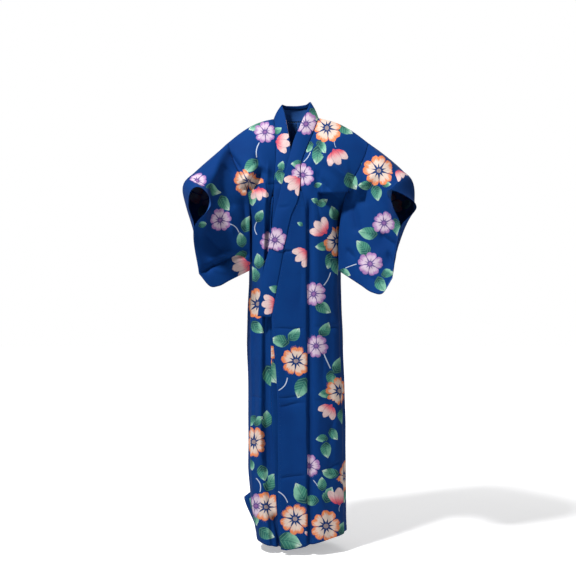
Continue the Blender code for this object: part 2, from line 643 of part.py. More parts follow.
def over_collar_points():
    """The over-collar lies on the band's outer side and turns round its free edge."""
    seam, free, knots, nape = band_edges()
    middle_z = (seam[:, 2] + free[:, 2]) / 2
    first, last = len(RIGHT_BAND), len(RIGHT_BAND) + 1
    start = np.interp(OVER_COLLAR_END, middle_z[:first], knots[:first])
    end = np.interp(-OVER_COLLAR_END, -middle_z[last:], knots[last:])
    places = band_places()
    covered = places[(places > start + OVER_COLLAR_TURN) & (places < end - OVER_COLLAR_TURN)]
    grid, outward = band_points(np.concatenate(([start], covered, [end])))
    off = COLLAR_WALL / 2 + OVER_COLLAR_GAP + OVER_COLLAR_WALL / 2
    across = grid[:, -1] - grid[:, -2]
    across /= np.linalg.norm(across, axis=1, keepdims=True)
    outer = grid + outward * off
    first_width = np.linalg.norm(outer[:, 1] - outer[:, 0], axis=1, keepdims=True)
    outer[:, 0] += (outer[:, 1] - outer[:, 0]) * (OVER_COLLAR_INSET / first_width)
    tip = grid[:, -1]
    turn_angles = (pi / 4, pi / 2, 3 * pi / 4)
    turned = [tip + off * (outward[:, -1] * np.cos(a) + across * np.sin(a)) for a in turn_angles]
    back_edge = tip - outward[:, -1] * off
    back_end = back_edge - across * OVER_COLLAR_TURN
    parts = [outer[:, i] for i in range(outer.shape[1])] + turned + [back_edge, back_end]
    return np.stack(parts, axis=1)


# ---------------------------------------------------------------- sleeves

def armhole_edges(front_grid, back_grid):
    """The body's armhole edge down the front and down the back, as far as the arm's slit."""
    front = front_grid[:, -1]
    back = back_grid[:, -1]
    front = front[front[:, 2] > ARMHOLE_BOTTOM - ARMHOLE_MARGIN["front"]]
    return front, back[back[:, 2] > ARMHOLE_BOTTOM - ARMHOLE_MARGIN["back"]]


def edge_rows(edge, shares):
    knots = chord_knots(edge)
    fine = curve_at(edge, knots, np.linspace(0.0, knots[-1], 400))
    return spread(fine, shares, 0.0, 0.0)


def section_rows(section, shares):
    """The front and back layers of one section, either side of its middle line."""
    front, back = np.array(section.front), np.array(section.back)
    across = (back - front) / 2
    arm_gap = np.linalg.norm(across)
    across /= arm_gap
    line = np.array((section.top, (front + back) / 2, section.low, section.hang))
    knots = chord_knots(line)
    places = shares * knots[-1]
    middle = curve_at(line, knots, places)
    over_arm = np.clip(places / knots[1], 0.0, 1.0)
    rounded = arm_gap * np.sqrt(1.0 - (1.0 - over_arm) ** 2)
    gaps = np.array((arm_gap, arm_gap, section.low_gap, section.hang_gap))[:, None]
    hanging = curve_at(gaps, knots, places, level=True)[:, 0]
    half = np.where(places < knots[1], rounded, hanging)[:, None]
    return middle - across * half, middle + across * half


def sleeve_grid(side, front_grid, back_grid):
    """Columns run from the armhole to the cuff, rows from the front's bottom over the arm."""
    sections = LEFT_SLEEVE if side > 0 else RIGHT_SLEEVE
    shares = even(SLEEVE_ROWS) ** SLEEVE_CROWD
    inner = INNER_EDGE[side]
    front_hole, back_hole = armhole_edges(front_grid, back_grid)
    away = np.array((side * ARMHOLE_GAP, 0.0, 0.0))
    hang = np.array(inner.hang)
    closed = np.array((0.0, CLOSED, 0.0))
    front_edge = np.concatenate((front_hole + away, [inner.front_low, hang - closed]))
    back_edge = np.concatenate((back_hole + away, [inner.back_low, hang + closed]))
    fronts = [edge_rows(front_edge, shares)]
    backs = [edge_rows(back_edge, shares)]
    for section in sections:
        front, back = section_rows(section, shares)
        fronts.append(front)
        backs.append(back)
    knots = np.array([0.0] + [section.share for section in sections])
    places = even(SLEEVE_COLUMNS)
    front = curve_at(np.array(fronts), knots, places)
    back = curve_at(np.array(backs), knots, places)
    whole = np.concatenate((front[:, ::-1], back[:, 1:]), axis=1)
    return np.transpose(whole, (1, 0, 2))


# ---------------------------------------------------------------- Blender objects

def cloth_material(name):
    material = bpy.data.materials.new(name)
    material.use_nodes = True
    shader = material.node_tree.nodes["Principled BSDF"]
    shader.inputs["Base Color"].default_value = CLOTH_COLOUR
    shader.inputs["Roughness"].default_value = CLOTH_ROUGHNESS
    shader.inputs["Metallic"].default_value = 0.0
    return material


def grid_faces(rows, columns, flip, index=None):
    faces = []
    for row in range(rows - 1):
        for column in range(columns - 1):
            corners = [(row, column), (row, column + 1), (row + 1, column + 1), (row + 1, column)]
            face = [index(*corner) if index else corner[0] * columns + corner[1] for corner in corners]
            faces.append(face[::-1] if flip else face)
    return faces


def add_piece(name, points, faces, wall, collection):
    mesh = bpy.data.meshes.new(name)
    mesh.from_pydata([tuple(point) for point in points], [], faces)
    mesh.update()
    piece = bpy.data.objects.new(name, mesh)
    collection.objects.link(piece)
    mesh.materials.append(cloth_material(name + "_cotton"))
    for polygon in mesh.polygons:
        polygon.use_smooth = True
    solidify = piece.modifiers.new("wall", "SOLIDIFY")
    solidify.thickness = wall
    solidify.offset = 0.0
    solidify.use_even_offset = False
    solidify.use_rim = True
    return piece


def add_grid(name, grid, wall, collection, flip=False):
    rows, columns = grid.shape[:2]
    points = grid.reshape(-1, 3)
    return add_piece(name, points, grid_faces(rows, columns, flip), wall, collection)


def add_body_length(name, side, front, back, collection):
    """One mesh for front and back, which share the vertices of the shoulder row."""
    columns = front.shape[1]
    front_points = front.reshape(-1, 3)
    back_points = back.reshape(-1, 3)
    points = np.concatenate((front_points, back_points))
    offset = len(front_points)

    def back_index(row, column):
        if row == 0 and column >= NECK_COLUMNS:
            return column - NECK_COLUMNS
        return offset + row * back.shape[1] + column

    faces = grid_faces(front.shape[0], columns, side < 0)
    faces += grid_faces(back.shape[0], back.shape[1], side > 0, back_index)
    used = sorted({corner for face in faces for corner in face})
    renumber = {old: new for new, old in enumerate(used)}
    faces = [[renumber[corner] for corner in face] for face in faces]
    return add_piece(name, points[used], faces, PANEL_WALL, collection)


def clear_scene():
    for old in list(bpy.data.objects):
        bpy.data.objects.remove(old, do_unlink=True)


def build_robe():
    clear_scene()
    collection = bpy.data.collections.new("cotton_yukata_robe")
    bpy.context.scene.collection.children.link(collection)
    for side, name in ((1, "left"), (-1, "right")):
        front, back, layer = body_length(side)
        overlap = overlap_panel(side, front)
        sleeve = sleeve_grid(side, front, back)
        front_folded = folded(side, layer, front)
        back_folded = folded(side, layer, back)
        add_body_length("body_" + name, side, front_folded, back_folded, collection)
        overlap = held_flat(overlap, folded(side, layer, overlap))
        add_grid("overlap_" + name, overlap, PANEL_WALL, collection, side > 0)
        sleeve_folded = sleeve + sag_shift(side, sleeve)
        add_grid("sleeve_" + name, sleeve_folded, PANEL_WALL, collection, side > 0)
    band, _ = band_points(band_places())
    add_grid("collar", band, COLLAR_WALL, collection)
    add_grid("over_collar", over_collar_points(), OVER_COLLAR_WALL, collection)


build_robe()
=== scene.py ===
# A cotton yukata robe as it hangs on shoulders: printed cloth, creases, sewing and the studio round it.
# Metres, +Z up. The wearer's front faces -Y and the wearer's left is +X.

import json
from collections import namedtuple
from math import asin, cos, pi, radians, sin

import bpy
import numpy as np
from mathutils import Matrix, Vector

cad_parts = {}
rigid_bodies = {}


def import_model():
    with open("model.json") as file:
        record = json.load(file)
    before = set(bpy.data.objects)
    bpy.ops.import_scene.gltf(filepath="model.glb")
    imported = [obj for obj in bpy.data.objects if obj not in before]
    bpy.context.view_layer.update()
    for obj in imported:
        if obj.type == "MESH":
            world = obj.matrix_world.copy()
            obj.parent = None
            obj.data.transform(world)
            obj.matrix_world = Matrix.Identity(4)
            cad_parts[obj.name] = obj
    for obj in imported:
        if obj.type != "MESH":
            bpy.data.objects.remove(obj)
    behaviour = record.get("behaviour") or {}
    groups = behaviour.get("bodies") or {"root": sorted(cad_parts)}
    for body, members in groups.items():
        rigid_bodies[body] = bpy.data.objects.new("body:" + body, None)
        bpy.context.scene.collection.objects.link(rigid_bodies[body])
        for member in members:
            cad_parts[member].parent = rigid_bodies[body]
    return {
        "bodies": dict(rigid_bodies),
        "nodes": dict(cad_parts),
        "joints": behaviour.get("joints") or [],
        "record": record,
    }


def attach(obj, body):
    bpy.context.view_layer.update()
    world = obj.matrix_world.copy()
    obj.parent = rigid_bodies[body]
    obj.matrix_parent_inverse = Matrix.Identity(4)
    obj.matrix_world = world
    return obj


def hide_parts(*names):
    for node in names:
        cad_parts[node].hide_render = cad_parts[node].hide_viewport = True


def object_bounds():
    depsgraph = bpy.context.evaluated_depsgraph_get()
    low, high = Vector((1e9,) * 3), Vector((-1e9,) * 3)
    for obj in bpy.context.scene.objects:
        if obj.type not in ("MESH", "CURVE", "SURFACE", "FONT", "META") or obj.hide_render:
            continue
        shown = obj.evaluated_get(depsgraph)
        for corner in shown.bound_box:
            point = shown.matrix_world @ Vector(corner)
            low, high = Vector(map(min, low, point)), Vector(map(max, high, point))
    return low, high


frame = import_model()
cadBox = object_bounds()


# the sizes of the robe

robe = {
    "panelWall": 0.0010,        # one layer of cotton
    "collarWall": 0.0022,       # the band is folded double
    "overCollarWall": 0.0008,
    "seamGap": 0.0005,          # between the middles of two sewn edges
    "sideGap": 0.0,             # front and back meet edge to edge at the sides
    "backSeamGap": 0.0001,
    "armholeGap": 0.0004,
    "neckGap": 0.0001,          # the collar stands on edge on the shoulders
    "bandGap": 0.0008,
    "lapGap": 0.0012,
    "neckGapEnd": -0.15,
    "snapShare": 0.10,          # share of a front that follows the collar seam
    "heldWidth": 0.020,         # the collar keeps this much of a panel flat
    "overlapPoint": 0.003,
    "pointLength": 0.09,
    "underDepth": 0.111,
}
mesh = {
    "fineSteps": 120,           # points of a plain curve before it is divided
    "frontColumns": 76,
    "evenShare": 0.45,          # how much of the front's columns is spread evenly
    "crowding": 1.9,
    "blendSections": 3.0,       # sections over which they change from even to crowded
    "neckColumns": 16,
    "rowStep": 0.0060,          # rows down the front
    "backRowStep": 0.0092,
    "creaseRows": 4,            # extra rows each side of a pressed crease
    "creaseStep": 0.0022,
    "leastStep": 0.6,           # the closest that two rows lie, in crease steps
    "overlapColumns": 34,
    "overlapEven": 0.6,
    "bandRows": 13,             # rows between two stations of the collar
    "bandColumns": 14,
    "sleeveColumns": 104,
    "sleeveRows": 104,
    "sleeveCrowd": 1.25,        # its rows lie closer together over the arm
}

Level = namedtuple("Level", "z left right top under back")
levels = (
    Level(-0.42, 0.163, 0.177, 0.138, 0.124, 0.118),
    Level(-0.60, 0.163, 0.179, 0.140, 0.125, 0.122),
    Level(-0.82, 0.170, 0.186, 0.142, 0.126, 0.126),
    Level(-1.05, 0.178, 0.182, 0.144, 0.127, 0.130),
    Level(-1.28, 0.181, 0.182, 0.147, 0.128, 0.132),
    Level(-1.42, 0.183, 0.172, 0.149, 0.130, 0.133),
    Level(-1.56, 0.184, 0.150, 0.151, 0.132, 0.134),
)
columnSquare = {"left": 2.6, "right": 3.2, "back": 2.5}     # 2 is an ellipse

SeamAt = namedtuple("SeamAt", "z left right")
overlapSeam = (
    SeamAt(-0.30, 0.028, -0.099),
    SeamAt(-0.42, 0.034, -0.100),
    SeamAt(-0.70, 0.036, -0.097),
    SeamAt(-1.05, 0.036, -0.094),
    SeamAt(-1.25, 0.036, -0.088),
    SeamAt(-1.45, 0.037, -0.074),
    SeamAt(-1.62, 0.037, -0.062),
)

HemAt = namedtuple("HemAt", "x front back")
hem = (
    HemAt(-0.18, -1.548, -1.542),
    HemAt(-0.15, -1.562, -1.540),
    HemAt(-0.10, -1.573, -1.540),
    HemAt(-0.04, -1.582, -1.541),
    HemAt(0.01, -1.573, -1.541),
    HemAt(0.08, -1.553, -1.540),
    HemAt(0.14, -1.540, -1.538),
    HemAt(0.185, -1.534, -1.534),
)

BandAt = namedtuple("BandAt", "place seam free")
leftBand = (
    BandAt("nape", (0.000, 0.090, -0.002), (0.000, 0.073, 0.054)),
    BandAt("behind neck", (0.046, 0.074, 0.000), (0.034, 0.062, 0.057)),
    BandAt("beside neck", (0.077, 0.026, 0.003), (0.050, 0.022, 0.060)),
    BandAt("shoulder", (0.072, -0.018, -0.025), (0.034, -0.010, 0.017)),
    BandAt("collar bone", (0.058, -0.045, -0.063), (0.014, -0.045, -0.033)),
    BandAt("chest", (0.032, -0.090, -0.131), (-0.010, -0.084, -0.093)),
    BandAt("breast", (0.013, -0.112, -0.190), (-0.027, -0.104, -0.152)),
    BandAt("ribs", (0.012, -0.126, -0.255), (-0.042, -0.121, -0.218)),
    BandAt("waist", (0.002, -0.134, -0.322), (-0.060, -0.131, -0.290)),
    BandAt("below waist", (-0.020, -0.138, -0.372), (-0.074, -0.136, -0.348)),
    BandAt("hip bone", (-0.036, -0.140, -0.440), (-0.090, -0.139, -0.418)),
    BandAt("hip", (-0.051, -0.142, -0.510), (-0.103, -0.141, -0.492)),
    BandAt("seat", (-0.064, -0.143, -0.580), (-0.121, -0.142, -0.566)),
    BandAt("thigh", (-0.079, -0.143, -0.660), (-0.133, -0.142, -0.648)),
    BandAt("end", (-0.094, -0.143, -0.741), (-0.144, -0.142, -0.738)),
)
rightBand = (
    BandAt("behind neck", (-0.050, 0.074, -0.001), (-0.039, 0.062, 0.053)),
    BandAt("beside neck", (-0.083, 0.024, 0.001), (-0.057, 0.020, 0.050)),
    BandAt("shoulder", (-0.083, -0.020, -0.028), (-0.048, -0.014, 0.012)),
    BandAt("collar bone", (-0.081, -0.048, -0.068), (-0.041, -0.042, -0.026)),
    BandAt("chest", (-0.078, -0.080, -0.131), (-0.030, -0.076, -0.093)),
    BandAt("breast", (-0.080, -0.097, -0.195), (-0.023, -0.094, -0.160)),
    BandAt("ribs", (-0.085, -0.105, -0.265), (-0.025, -0.105, -0.235)),
    BandAt("waist", (-0.089, -0.108, -0.340), (-0.030, -0.109, -0.315)),
    BandAt("hip bone", (-0.091, -0.109, -0.430), (-0.034, -0.111, -0.405)),
    BandAt("hip", (-0.072, -0.110, -0.520), (-0.016, -0.112, -0.490)),
    BandAt("seat", (-0.040, -0.111, -0.610), (0.014, -0.112, -0.580)),
    BandAt("end", (0.020, -0.112, -0.741), (0.070, -0.110, -0.716)),
)
band = {
    "belly": 0.003,
    "overCollarEnd": -0.502,
    "overCollarGap": 0.0010,
    "overCollarTurn": 0.012,
    "overCollarInset": 0.002,
    "overCollarMargin": 0.002,  # no station lies nearer to its ends
    "turnSteps": 8,
    "turnedSteps": 3,
}

FrontRow = namedtuple("FrontRow", "innerZ outer forward up")
frontRows = {
    1: (
        FrontRow(-0.063, (0.250, -0.082, -0.145), 0.008, 0.014),
        FrontRow(-0.131, (0.228, -0.104, -0.195), 0.014, 0.006),
        FrontRow(-0.190, (0.203, -0.113, -0.243), 0.014, 0.000),
        FrontRow(-0.255, (0.181, -0.108, -0.290), 0.018, 0.000),
    ),
    -1: (
        FrontRow(-0.068, (-0.243, -0.082, -0.145), 0.008, 0.014),
        FrontRow(-0.131, (-0.222, -0.102, -0.197), 0.014, 0.006),
        FrontRow(-0.195, (-0.199, -0.108, -0.243), 0.014, 0.000),
        FrontRow(-0.265, (-0.181, -0.100, -0.290), 0.016, 0.000),
    ),
}
BackRow = namedtuple("BackRow", "inner outer backward up")
backRows = (
    BackRow((0.0, 0.103, -0.062), (0.250, -0.005, -0.140), 0.034, 0.016),
    BackRow((0.0, 0.113, -0.130), (0.230, 0.034, -0.190), 0.025, 0.008),
    BackRow((0.0, 0.119, -0.200), (0.207, 0.060, -0.240), 0.019, 0.003),
    BackRow((0.0, 0.121, -0.270), (0.184, 0.066, -0.292), 0.020, 0.000),
)
shoulder = {
    "tip": {1: (0.261, -0.055, -0.101), -1: (-0.255, -0.055, -0.101)},
    "arch": 0.021,
    "neck": {1: (0.0775, 0.006, 0.000), -1: (-0.0835, 0.004, -0.003)},
    "neckAxis": (0.0, 0.020, 0.0),
}
underarm = {
    "z": -0.350,
    "front": -0.062,
    "back": 0.034,
    "belly": 0.030,
    "outward": 0.006,
    "topInward": 0.006,         # how far the middle of each layer lies inside the column below
    "underInward": 0.012,
    "backOutward": 0.002,
}

EdgeAt = namedtuple("EdgeAt", "z left right")
freeEdge = (
    EdgeAt(-0.741, -0.094, 0.020),
    EdgeAt(-0.83, -0.088, 0.024),
    EdgeAt(-0.94, -0.077, 0.025),
    EdgeAt(-1.08, -0.071, 0.024),
    EdgeAt(-1.30, -0.070, 0.026),
    EdgeAt(-1.52, -0.069, 0.030),
    EdgeAt(-1.60, -0.052, 0.032),
)
overlapTop = {1: -0.262, -1: -0.275}

# long folds, from a top to a foot point seen from the front; rise is out, or below zero a hollow

Fold = namedtuple("Fold", "topX topZ footX footZ rise width")
topLayerFolds = (
    Fold(0.0425, -0.300, 0.0445, -1.62, -0.017, 0.0085),
    Fold(0.072, -0.340, 0.078, -1.62, 0.004, 0.016),
    Fold(0.118, -0.420, 0.122, -1.62, -0.004, 0.014),
    Fold(0.070, -0.140, 0.206, -0.276, 0.010, 0.022),
    Fold(-0.020, -0.900, -0.012, -1.62, -0.003, 0.025),
)
underLayerFolds = (
    Fold(-0.113, -0.160, -0.137, -1.30, 0.017, 0.0140),
    Fold(-0.104, -0.360, -0.118, -0.80, -0.018, 0.0120),
    Fold(-0.118, -0.730, -0.118, -1.20, -0.018, 0.0120),
    Fold(-0.118, -1.130, -0.088, -1.62, -0.018, 0.0130),
    Fold(-0.160, -0.600, -0.156, -1.40, -0.006, 0.0090),
)
backFolds = (
    Fold(0.050, -0.180, 0.062, -1.60, -0.011, 0.018),
    Fold(-0.055, -0.200, -0.047, -1.60, -0.010, 0.020),
    Fold(0.112, -0.300, 0.120, -1.60, 0.009, 0.018),
    Fold(-0.118, -0.330, -0.108, -1.60, 0.010, 0.018),
    Fold(0.148, -0.500, 0.150, -1.60, -0.006, 0.012),
    Fold(-0.150, -0.560, -0.140, -1.60, -0.006, 0.012),
)
sideFolds = {       # their places are along y
    1: (
        Fold(-0.062, -0.500, -0.055, -1.60, -0.006, 0.016),
        Fold(0.050, -0.520, 0.058, -1.60, -0.007, 0.018),
    ),
    -1: (
        Fold(-0.060, -0.520, -0.052, -1.40, -0.006, 0.016),
        Fold(0.045, -0.500, 0.040, -1.36, -0.007, 0.018),
    ),
}
foldEnds = {"fade": 0.07, "faceStart": 0.020, "faceFade": 0.050, "sideStart": 0.125, "sideFade": 0.040}

Sag = namedtuple("Sag", "side start end lift sink above below lap fade step")
sags = (
    Sag(1, (0.068, -0.282), (0.200, -0.275), 0.016, 0.024, 0.070, 0.045, 0.012, 0.024, 0.016),
    Sag(-1, (-0.200, -0.268), (-0.141, -0.176), 0.013, 0.017, 0.045, 0.045, 0.001, 0.028, 0.030),
)
sagShape = {"faceStart": 0.04, "faceFade": 0.03, "slideReach": 3, "lowerSlide": 0.6}
flare = {       # the fallen back corner of the under layer at the hem
    "top": -1.400,
    "foot": -1.56,
    "out": 0.034,
    "step": 0.025,
    "frontY": -0.01,
    "frontFade": 0.03,
    "backY": 0.09,
    "backFade": 0.05,
}


# shared functions

def smoothStep(value):
    value = np.clip(value, 0.0, 1.0)
    return value * value * (3.0 - 2.0 * value)


def chordKnots(points):
    steps = np.linalg.norm(np.diff(points, axis=0), axis=1)
    return np.concatenate(([0.0], np.cumsum(steps)))


def curveAt(points, knots, places, level=False):
    # a smooth curve through the points; a level one never swings past them
    points = np.asarray(points, dtype=float)
    slopes = np.gradient(points, knots, axis=0)
    if level:
        steps = np.diff(points, axis=0) / np.diff(knots).reshape((-1,) + (1,) * (points.ndim - 1))
        least = np.minimum(np.abs(steps[1:]), np.abs(steps[:-1])) * 3.0
        turning = steps[1:] * steps[:-1] <= 0.0
        inner = np.clip(slopes[1:-1], -least, least)
        slopes[1:-1] = np.where(turning, 0.0, inner)
    places = np.asarray(places, dtype=float)
    first = np.clip(np.searchsorted(knots, places, side="right") - 1, 0, len(knots) - 2)
    span = knots[first + 1] - knots[first]
    shape = (len(places),) + (1,) * (points.ndim - 1)
    s = ((places - knots[first]) / span).reshape(shape)
    h = span.reshape(shape)
    start = (2 * s ** 3 - 3 * s ** 2 + 1) * points[first] + (s ** 3 - 2 * s ** 2 + s) * h * slopes[first]
    end = (3 * s ** 2 - 2 * s ** 3) * points[first + 1] + (s ** 3 - s ** 2) * h * slopes[first + 1]
    return start + end


def spreadAlong(points, shares, startGap, endGap):
    knots = chordKnots(points)
    places = startGap + np.asarray(shares) * (knots[-1] - startGap - endGap)
    return np.stack([np.interp(places, knots, points[:, axis]) for axis in range(3)], axis=1)


def evenShares(count):
    return np.linspace(0.0, 1.0, count + 1)


def crowdedShares(count):
    # closer together towards the start, where the deep hollow is
    even = evenShares(count)
    return mesh["evenShare"] * even + (1.0 - mesh["evenShare"]) * even ** mesh["crowding"]


def tableValue(table, column, z):
    heights = [-row.z for row in table]
    values = [getattr(row, column) for row in table]
    return np.interp(-np.asarray(z), heights, values)


def sideName(side):
    return "left" if side > 0 else "right"


# folds and sags

def foldLift(folds, across, z):
    total = np.zeros_like(z)
    for fold in folds:
        share = (fold.topZ - z) / (fold.topZ - fold.footZ)
        middle = fold.topX + (fold.footX - fold.topX) * np.clip(share, 0.0, 1.0)
        length = fold.topZ - fold.footZ
        fade = smoothStep(share * length / foldEnds["fade"])
        fade = fade * smoothStep((1.0 - share) * length / foldEnds["fade"])
        total += fold.rise * fade * np.exp(-((across - middle) / fold.width) ** 2)
    return total


def sagShift(side, points):
    shift = np.zeros_like(points)
    for sag in sags:
        if sag.side != side:
            continue
        start = np.array(sag.start)
        run = np.array(sag.end) - start
        length = np.linalg.norm(run)
        run = run / length
        upward = np.array((-run[1], run[0]))
        flat = points[..., (0, 2)] - start
        along = flat @ run
        height = flat @ upward
        ends = smoothStep(along / sag.fade) * smoothStep((length - along) / sag.fade)
        front = smoothStep((-points[..., 1] - sagShape["faceStart"]) / sagShape["faceFade"])
        above = smoothStep((height + sag.step) / sag.step)
        below = 1.0 - above
        under = height + sag.step
        forward = above * sag.lift * np.exp(-(height / sag.above) ** 2)
        forward -= below * sag.sink * np.exp(-(under / sag.below) ** 2)
        reach = sagShape["slideReach"] * sag.lap
        slide = -above * np.exp(-(height / reach) ** 2)
        slide += sagShape["lowerSlide"] * below * np.exp(-(under / reach) ** 2)
        weight = ends * front
        shift[..., 1] -= forward * weight
        shift[..., 0] += slide * sag.lap * weight * upward[0]
        shift[..., 2] += slide * sag.lap * weight * upward[1]
    return shift


def foldCloth(side, points):
    x, y, z = points[..., 0], points[..., 1], points[..., 2]
    frontFolds = topLayerFolds if side > 0 else underLayerFolds
    front = np.clip((-y - foldEnds["faceStart"]) / foldEnds["faceFade"], 0.0, 1.0)
    back = np.clip((y - foldEnds["faceStart"]) / foldEnds["faceFade"], 0.0, 1.0)
    flank = np.clip((np.abs(x) - foldEnds["sideStart"]) / foldEnds["sideFade"], 0.0, 1.0)
    moved = points.copy()
    moved[..., 1] -= front * foldLift(frontFolds, x, z)
    moved[..., 1] += back * foldLift(backFolds, x, z)
    moved[..., 0] += side * flank * foldLift(sideFolds[side], y, z)
    moved += sagShift(side, points)
    if side < 0:
        drop = (flare["top"] - z) / (flare["top"] - flare["foot"])
        swell = smoothStep((flare["top"] - z) / flare["step"]) * np.clip(1.0 - drop, 0.0, 1.0)
        behind = smoothStep((y - flare["frontY"]) / flare["frontFade"])
        behind = behind * smoothStep((flare["backY"] - y) / flare["backFade"])
        moved[..., 0] -= flare["out"] * swell * behind * flank
    return moved


# the collar line

def bandEdges():
    rows = rightBand[::-1] + leftBand
    seam = np.array([row.seam for row in rows])
    free = np.array([row.free for row in rows])
    knots = chordKnots((seam + free) / 2)
    return seam, free, knots, knots[len(rightBand)]


def seamLine(side, count=400):
    seam, _, knots, nape = bandEdges()
    return curveAt(seam, knots, np.linspace(nape, knots[-1] if side > 0 else 0.0, count))


frontSeamLines = {}
for side in (1, -1):
    line = seamLine(side)
    frontSeamLines[side] = line[np.argmax(line[:, 2]):]


def collarSeam(side, z):
    line = frontSeamLines[side]
    return np.array([np.interp(-z, -line[:, 2], line[:, axis]) for axis in range(3)])


def neckGap(z):
    near = smoothStep((z - robe["neckGapEnd"]) / -robe["neckGapEnd"])
    return robe["bandGap"] + (robe["neckGap"] - robe["bandGap"]) * near


# heights of the creases pressed across the cloth where it lay folded away
pressedHeights = (-0.2606, -0.3426, -0.5015, -0.7827, -1.0317, -1.0600, -1.3200)
backPressedHeights = (-0.401, -0.787, -1.046, -1.303)


# the body lengths, front and back in one over the shoulder

def cornerPath(innerX, halfWidth, depth, square, facing):
    # a quarter of the hanging column's outline, from the inner seam round to the side seam
    first = asin(min(innerX / halfWidth, 1.0) ** (square / 2.0))
    angle = np.linspace(first, pi / 2, 160)
    x = halfWidth * np.sin(angle) ** (2.0 / square)
    y = facing * depth * np.clip(np.cos(angle), 0.0, 1.0) ** (2.0 / square)
    return np.stack((x, y, np.zeros_like(x)), axis=1)


def shoulderRow(side, shares):
    neck = np.array(shoulder["neck"][side])
    tip = np.array(shoulder["tip"][side])
    share = np.linspace(0.0, 1.0, mesh["fineSteps"])[:, None]
    arch = np.sin(pi * share) * np.array((0.0, shoulder["arch"], shoulder["arch"]))
    return spreadAlong(neck + (tip - neck) * share + arch, shares, robe["neckGap"], robe["seamGap"])


def bowedRow(inner, outer, push, up, shares, gap):
    share = np.linspace(0.0, 1.0, mesh["fineSteps"])[:, None]
    bow = np.sin(pi * share) * np.array((0.0, push, up))
    inner = np.array(inner)
    return spreadAlong(inner + (np.array(outer) - inner) * share + bow, shares, gap, robe["seamGap"])


def underarmRow(side, facing, shares):
    level = levels[0]
    halfWidth = getattr(level, sideName(side))
    edge = underarm["front"] if facing < 0 else underarm["back"]
    outer = np.array((side * (halfWidth + underarm["outward"]), edge, underarm["z"]))
    if facing < 0:
        seamX = tableValue(overlapSeam, sideName(side), underarm["z"])
        depth = level.top - underarm["topInward"] if side > 0 else level.under - underarm["underInward"]
        inner = np.array((seamX, -depth, underarm["z"]))
    else:
        inner = np.array((0.0, level.back + underarm["backOutward"], underarm["z"]))
    return bowedRow(inner, outer, facing * underarm["belly"], 0.0, shares, robe["seamGap"] / 2)


def hemHeight(x, facing):
    places = [row.x for row in hem]
    return np.interp(x, places, [row.front if facing < 0 else row.back for row in hem])


def columnRow(level, side, facing, shares):
    halfWidth = getattr(level, sideName(side))
    if facing < 0:
        depth = level.top if side > 0 else level.under
        seamX = tableValue(overlapSeam, sideName(side), level.z)
        path = cornerPath(abs(seamX), halfWidth, depth, columnSquare[sideName(side)], facing)
    else:
        path = cornerPath(0.0, halfWidth, level.back, columnSquare["back"], facing)
    path[:, 0] *= side
    path[:, 2] = level.z
    row = spreadAlong(path, shares, robe["seamGap"] / 2, robe["sideGap"])
    if level is levels[-1]:
        row[:, 2] = hemHeight(row[:, 0], facing)
    return row


def frontSections(side, shares):
    sections = [shoulderRow(side, shares)]
    for row in frontRows[side]:
        inner = collarSeam(side, row.innerZ)
        sections.append(bowedRow(inner, row.outer, -row.forward, row.up, shares, neckGap(row.innerZ)))
    sections.append(underarmRow(side, -1, shares))
    sections += [columnRow(level, side, -1, shares) for level in levels]
    return np.array(sections)


def followCollar(side, grid, shares):
    hold = np.clip(1.0 - shares / robe["snapShare"], 0.0, 1.0)[:, None] ** 2
    for row in grid[1:]:
        if row[0, 2] < overlapTop[side]:
            break
        across = row[4] - row[0]
        across /= np.linalg.norm(across)
        beside = collarSeam(side, row[0, 2]) + across * neckGap(row[0, 2])
        row += (beside - row[0]) * hold
    return grid


def backSections(side, outerShares):
    seam = seamLine(side)
    neck = seam[seam[:, 1] > shoulder["neck"][side][1]]
    hollow = spreadAlong(neck, evenShares(mesh["neckColumns"]), 0.0, 0.0)[:-1]
    away = hollow - np.array(shoulder["neckAxis"])
    away[:, 2] = -np.linalg.norm(away[:, :2], axis=1)
    hollow += away / np.linalg.norm(away, axis=1, keepdims=True) * robe["neckGap"]
    sections = [np.concatenate((hollow, shoulderRow(side, outerShares)))]
    shares = evenShares(mesh["neckColumns"] + len(outerShares) - 1)
    for row in backRows:
        outer = (side * row.outer[0], row.outer[1], row.outer[2])
        sections.append(bowedRow(row.inner, outer, row.backward, row.up, shares, 0.0))
    sections.append(underarmRow(side, 1, shares))
    sections += [columnRow(level, side, 1, shares) for level in levels]
    for row in sections:
        row[0, 0] = side * robe["backSeamGap"] / 2
    return np.array(sections)


def rowStops(total, step, creaseHeights, heights):
    # even rows from the shoulder to the hem, and closer ones beside each pressed crease
    stops = list(np.linspace(0.0, total, int(round(total / step)) + 1))
    for z in creaseHeights:
        middle = np.interp(-z, -heights[:, 1], heights[:, 0])
        reach = mesh["creaseRows"]
        stops += [middle + mesh["creaseStep"] * n for n in range(-reach, reach + 1)]
    stops = np.unique(np.round(stops, 4))
    kept = [0.0]
    for stop in stops[1:]:
        if stop - kept[-1] > mesh["leastStep"] * mesh["creaseStep"] and stop < total - mesh["creaseStep"]:
            kept.append(stop)
    return np.array(kept + [total])


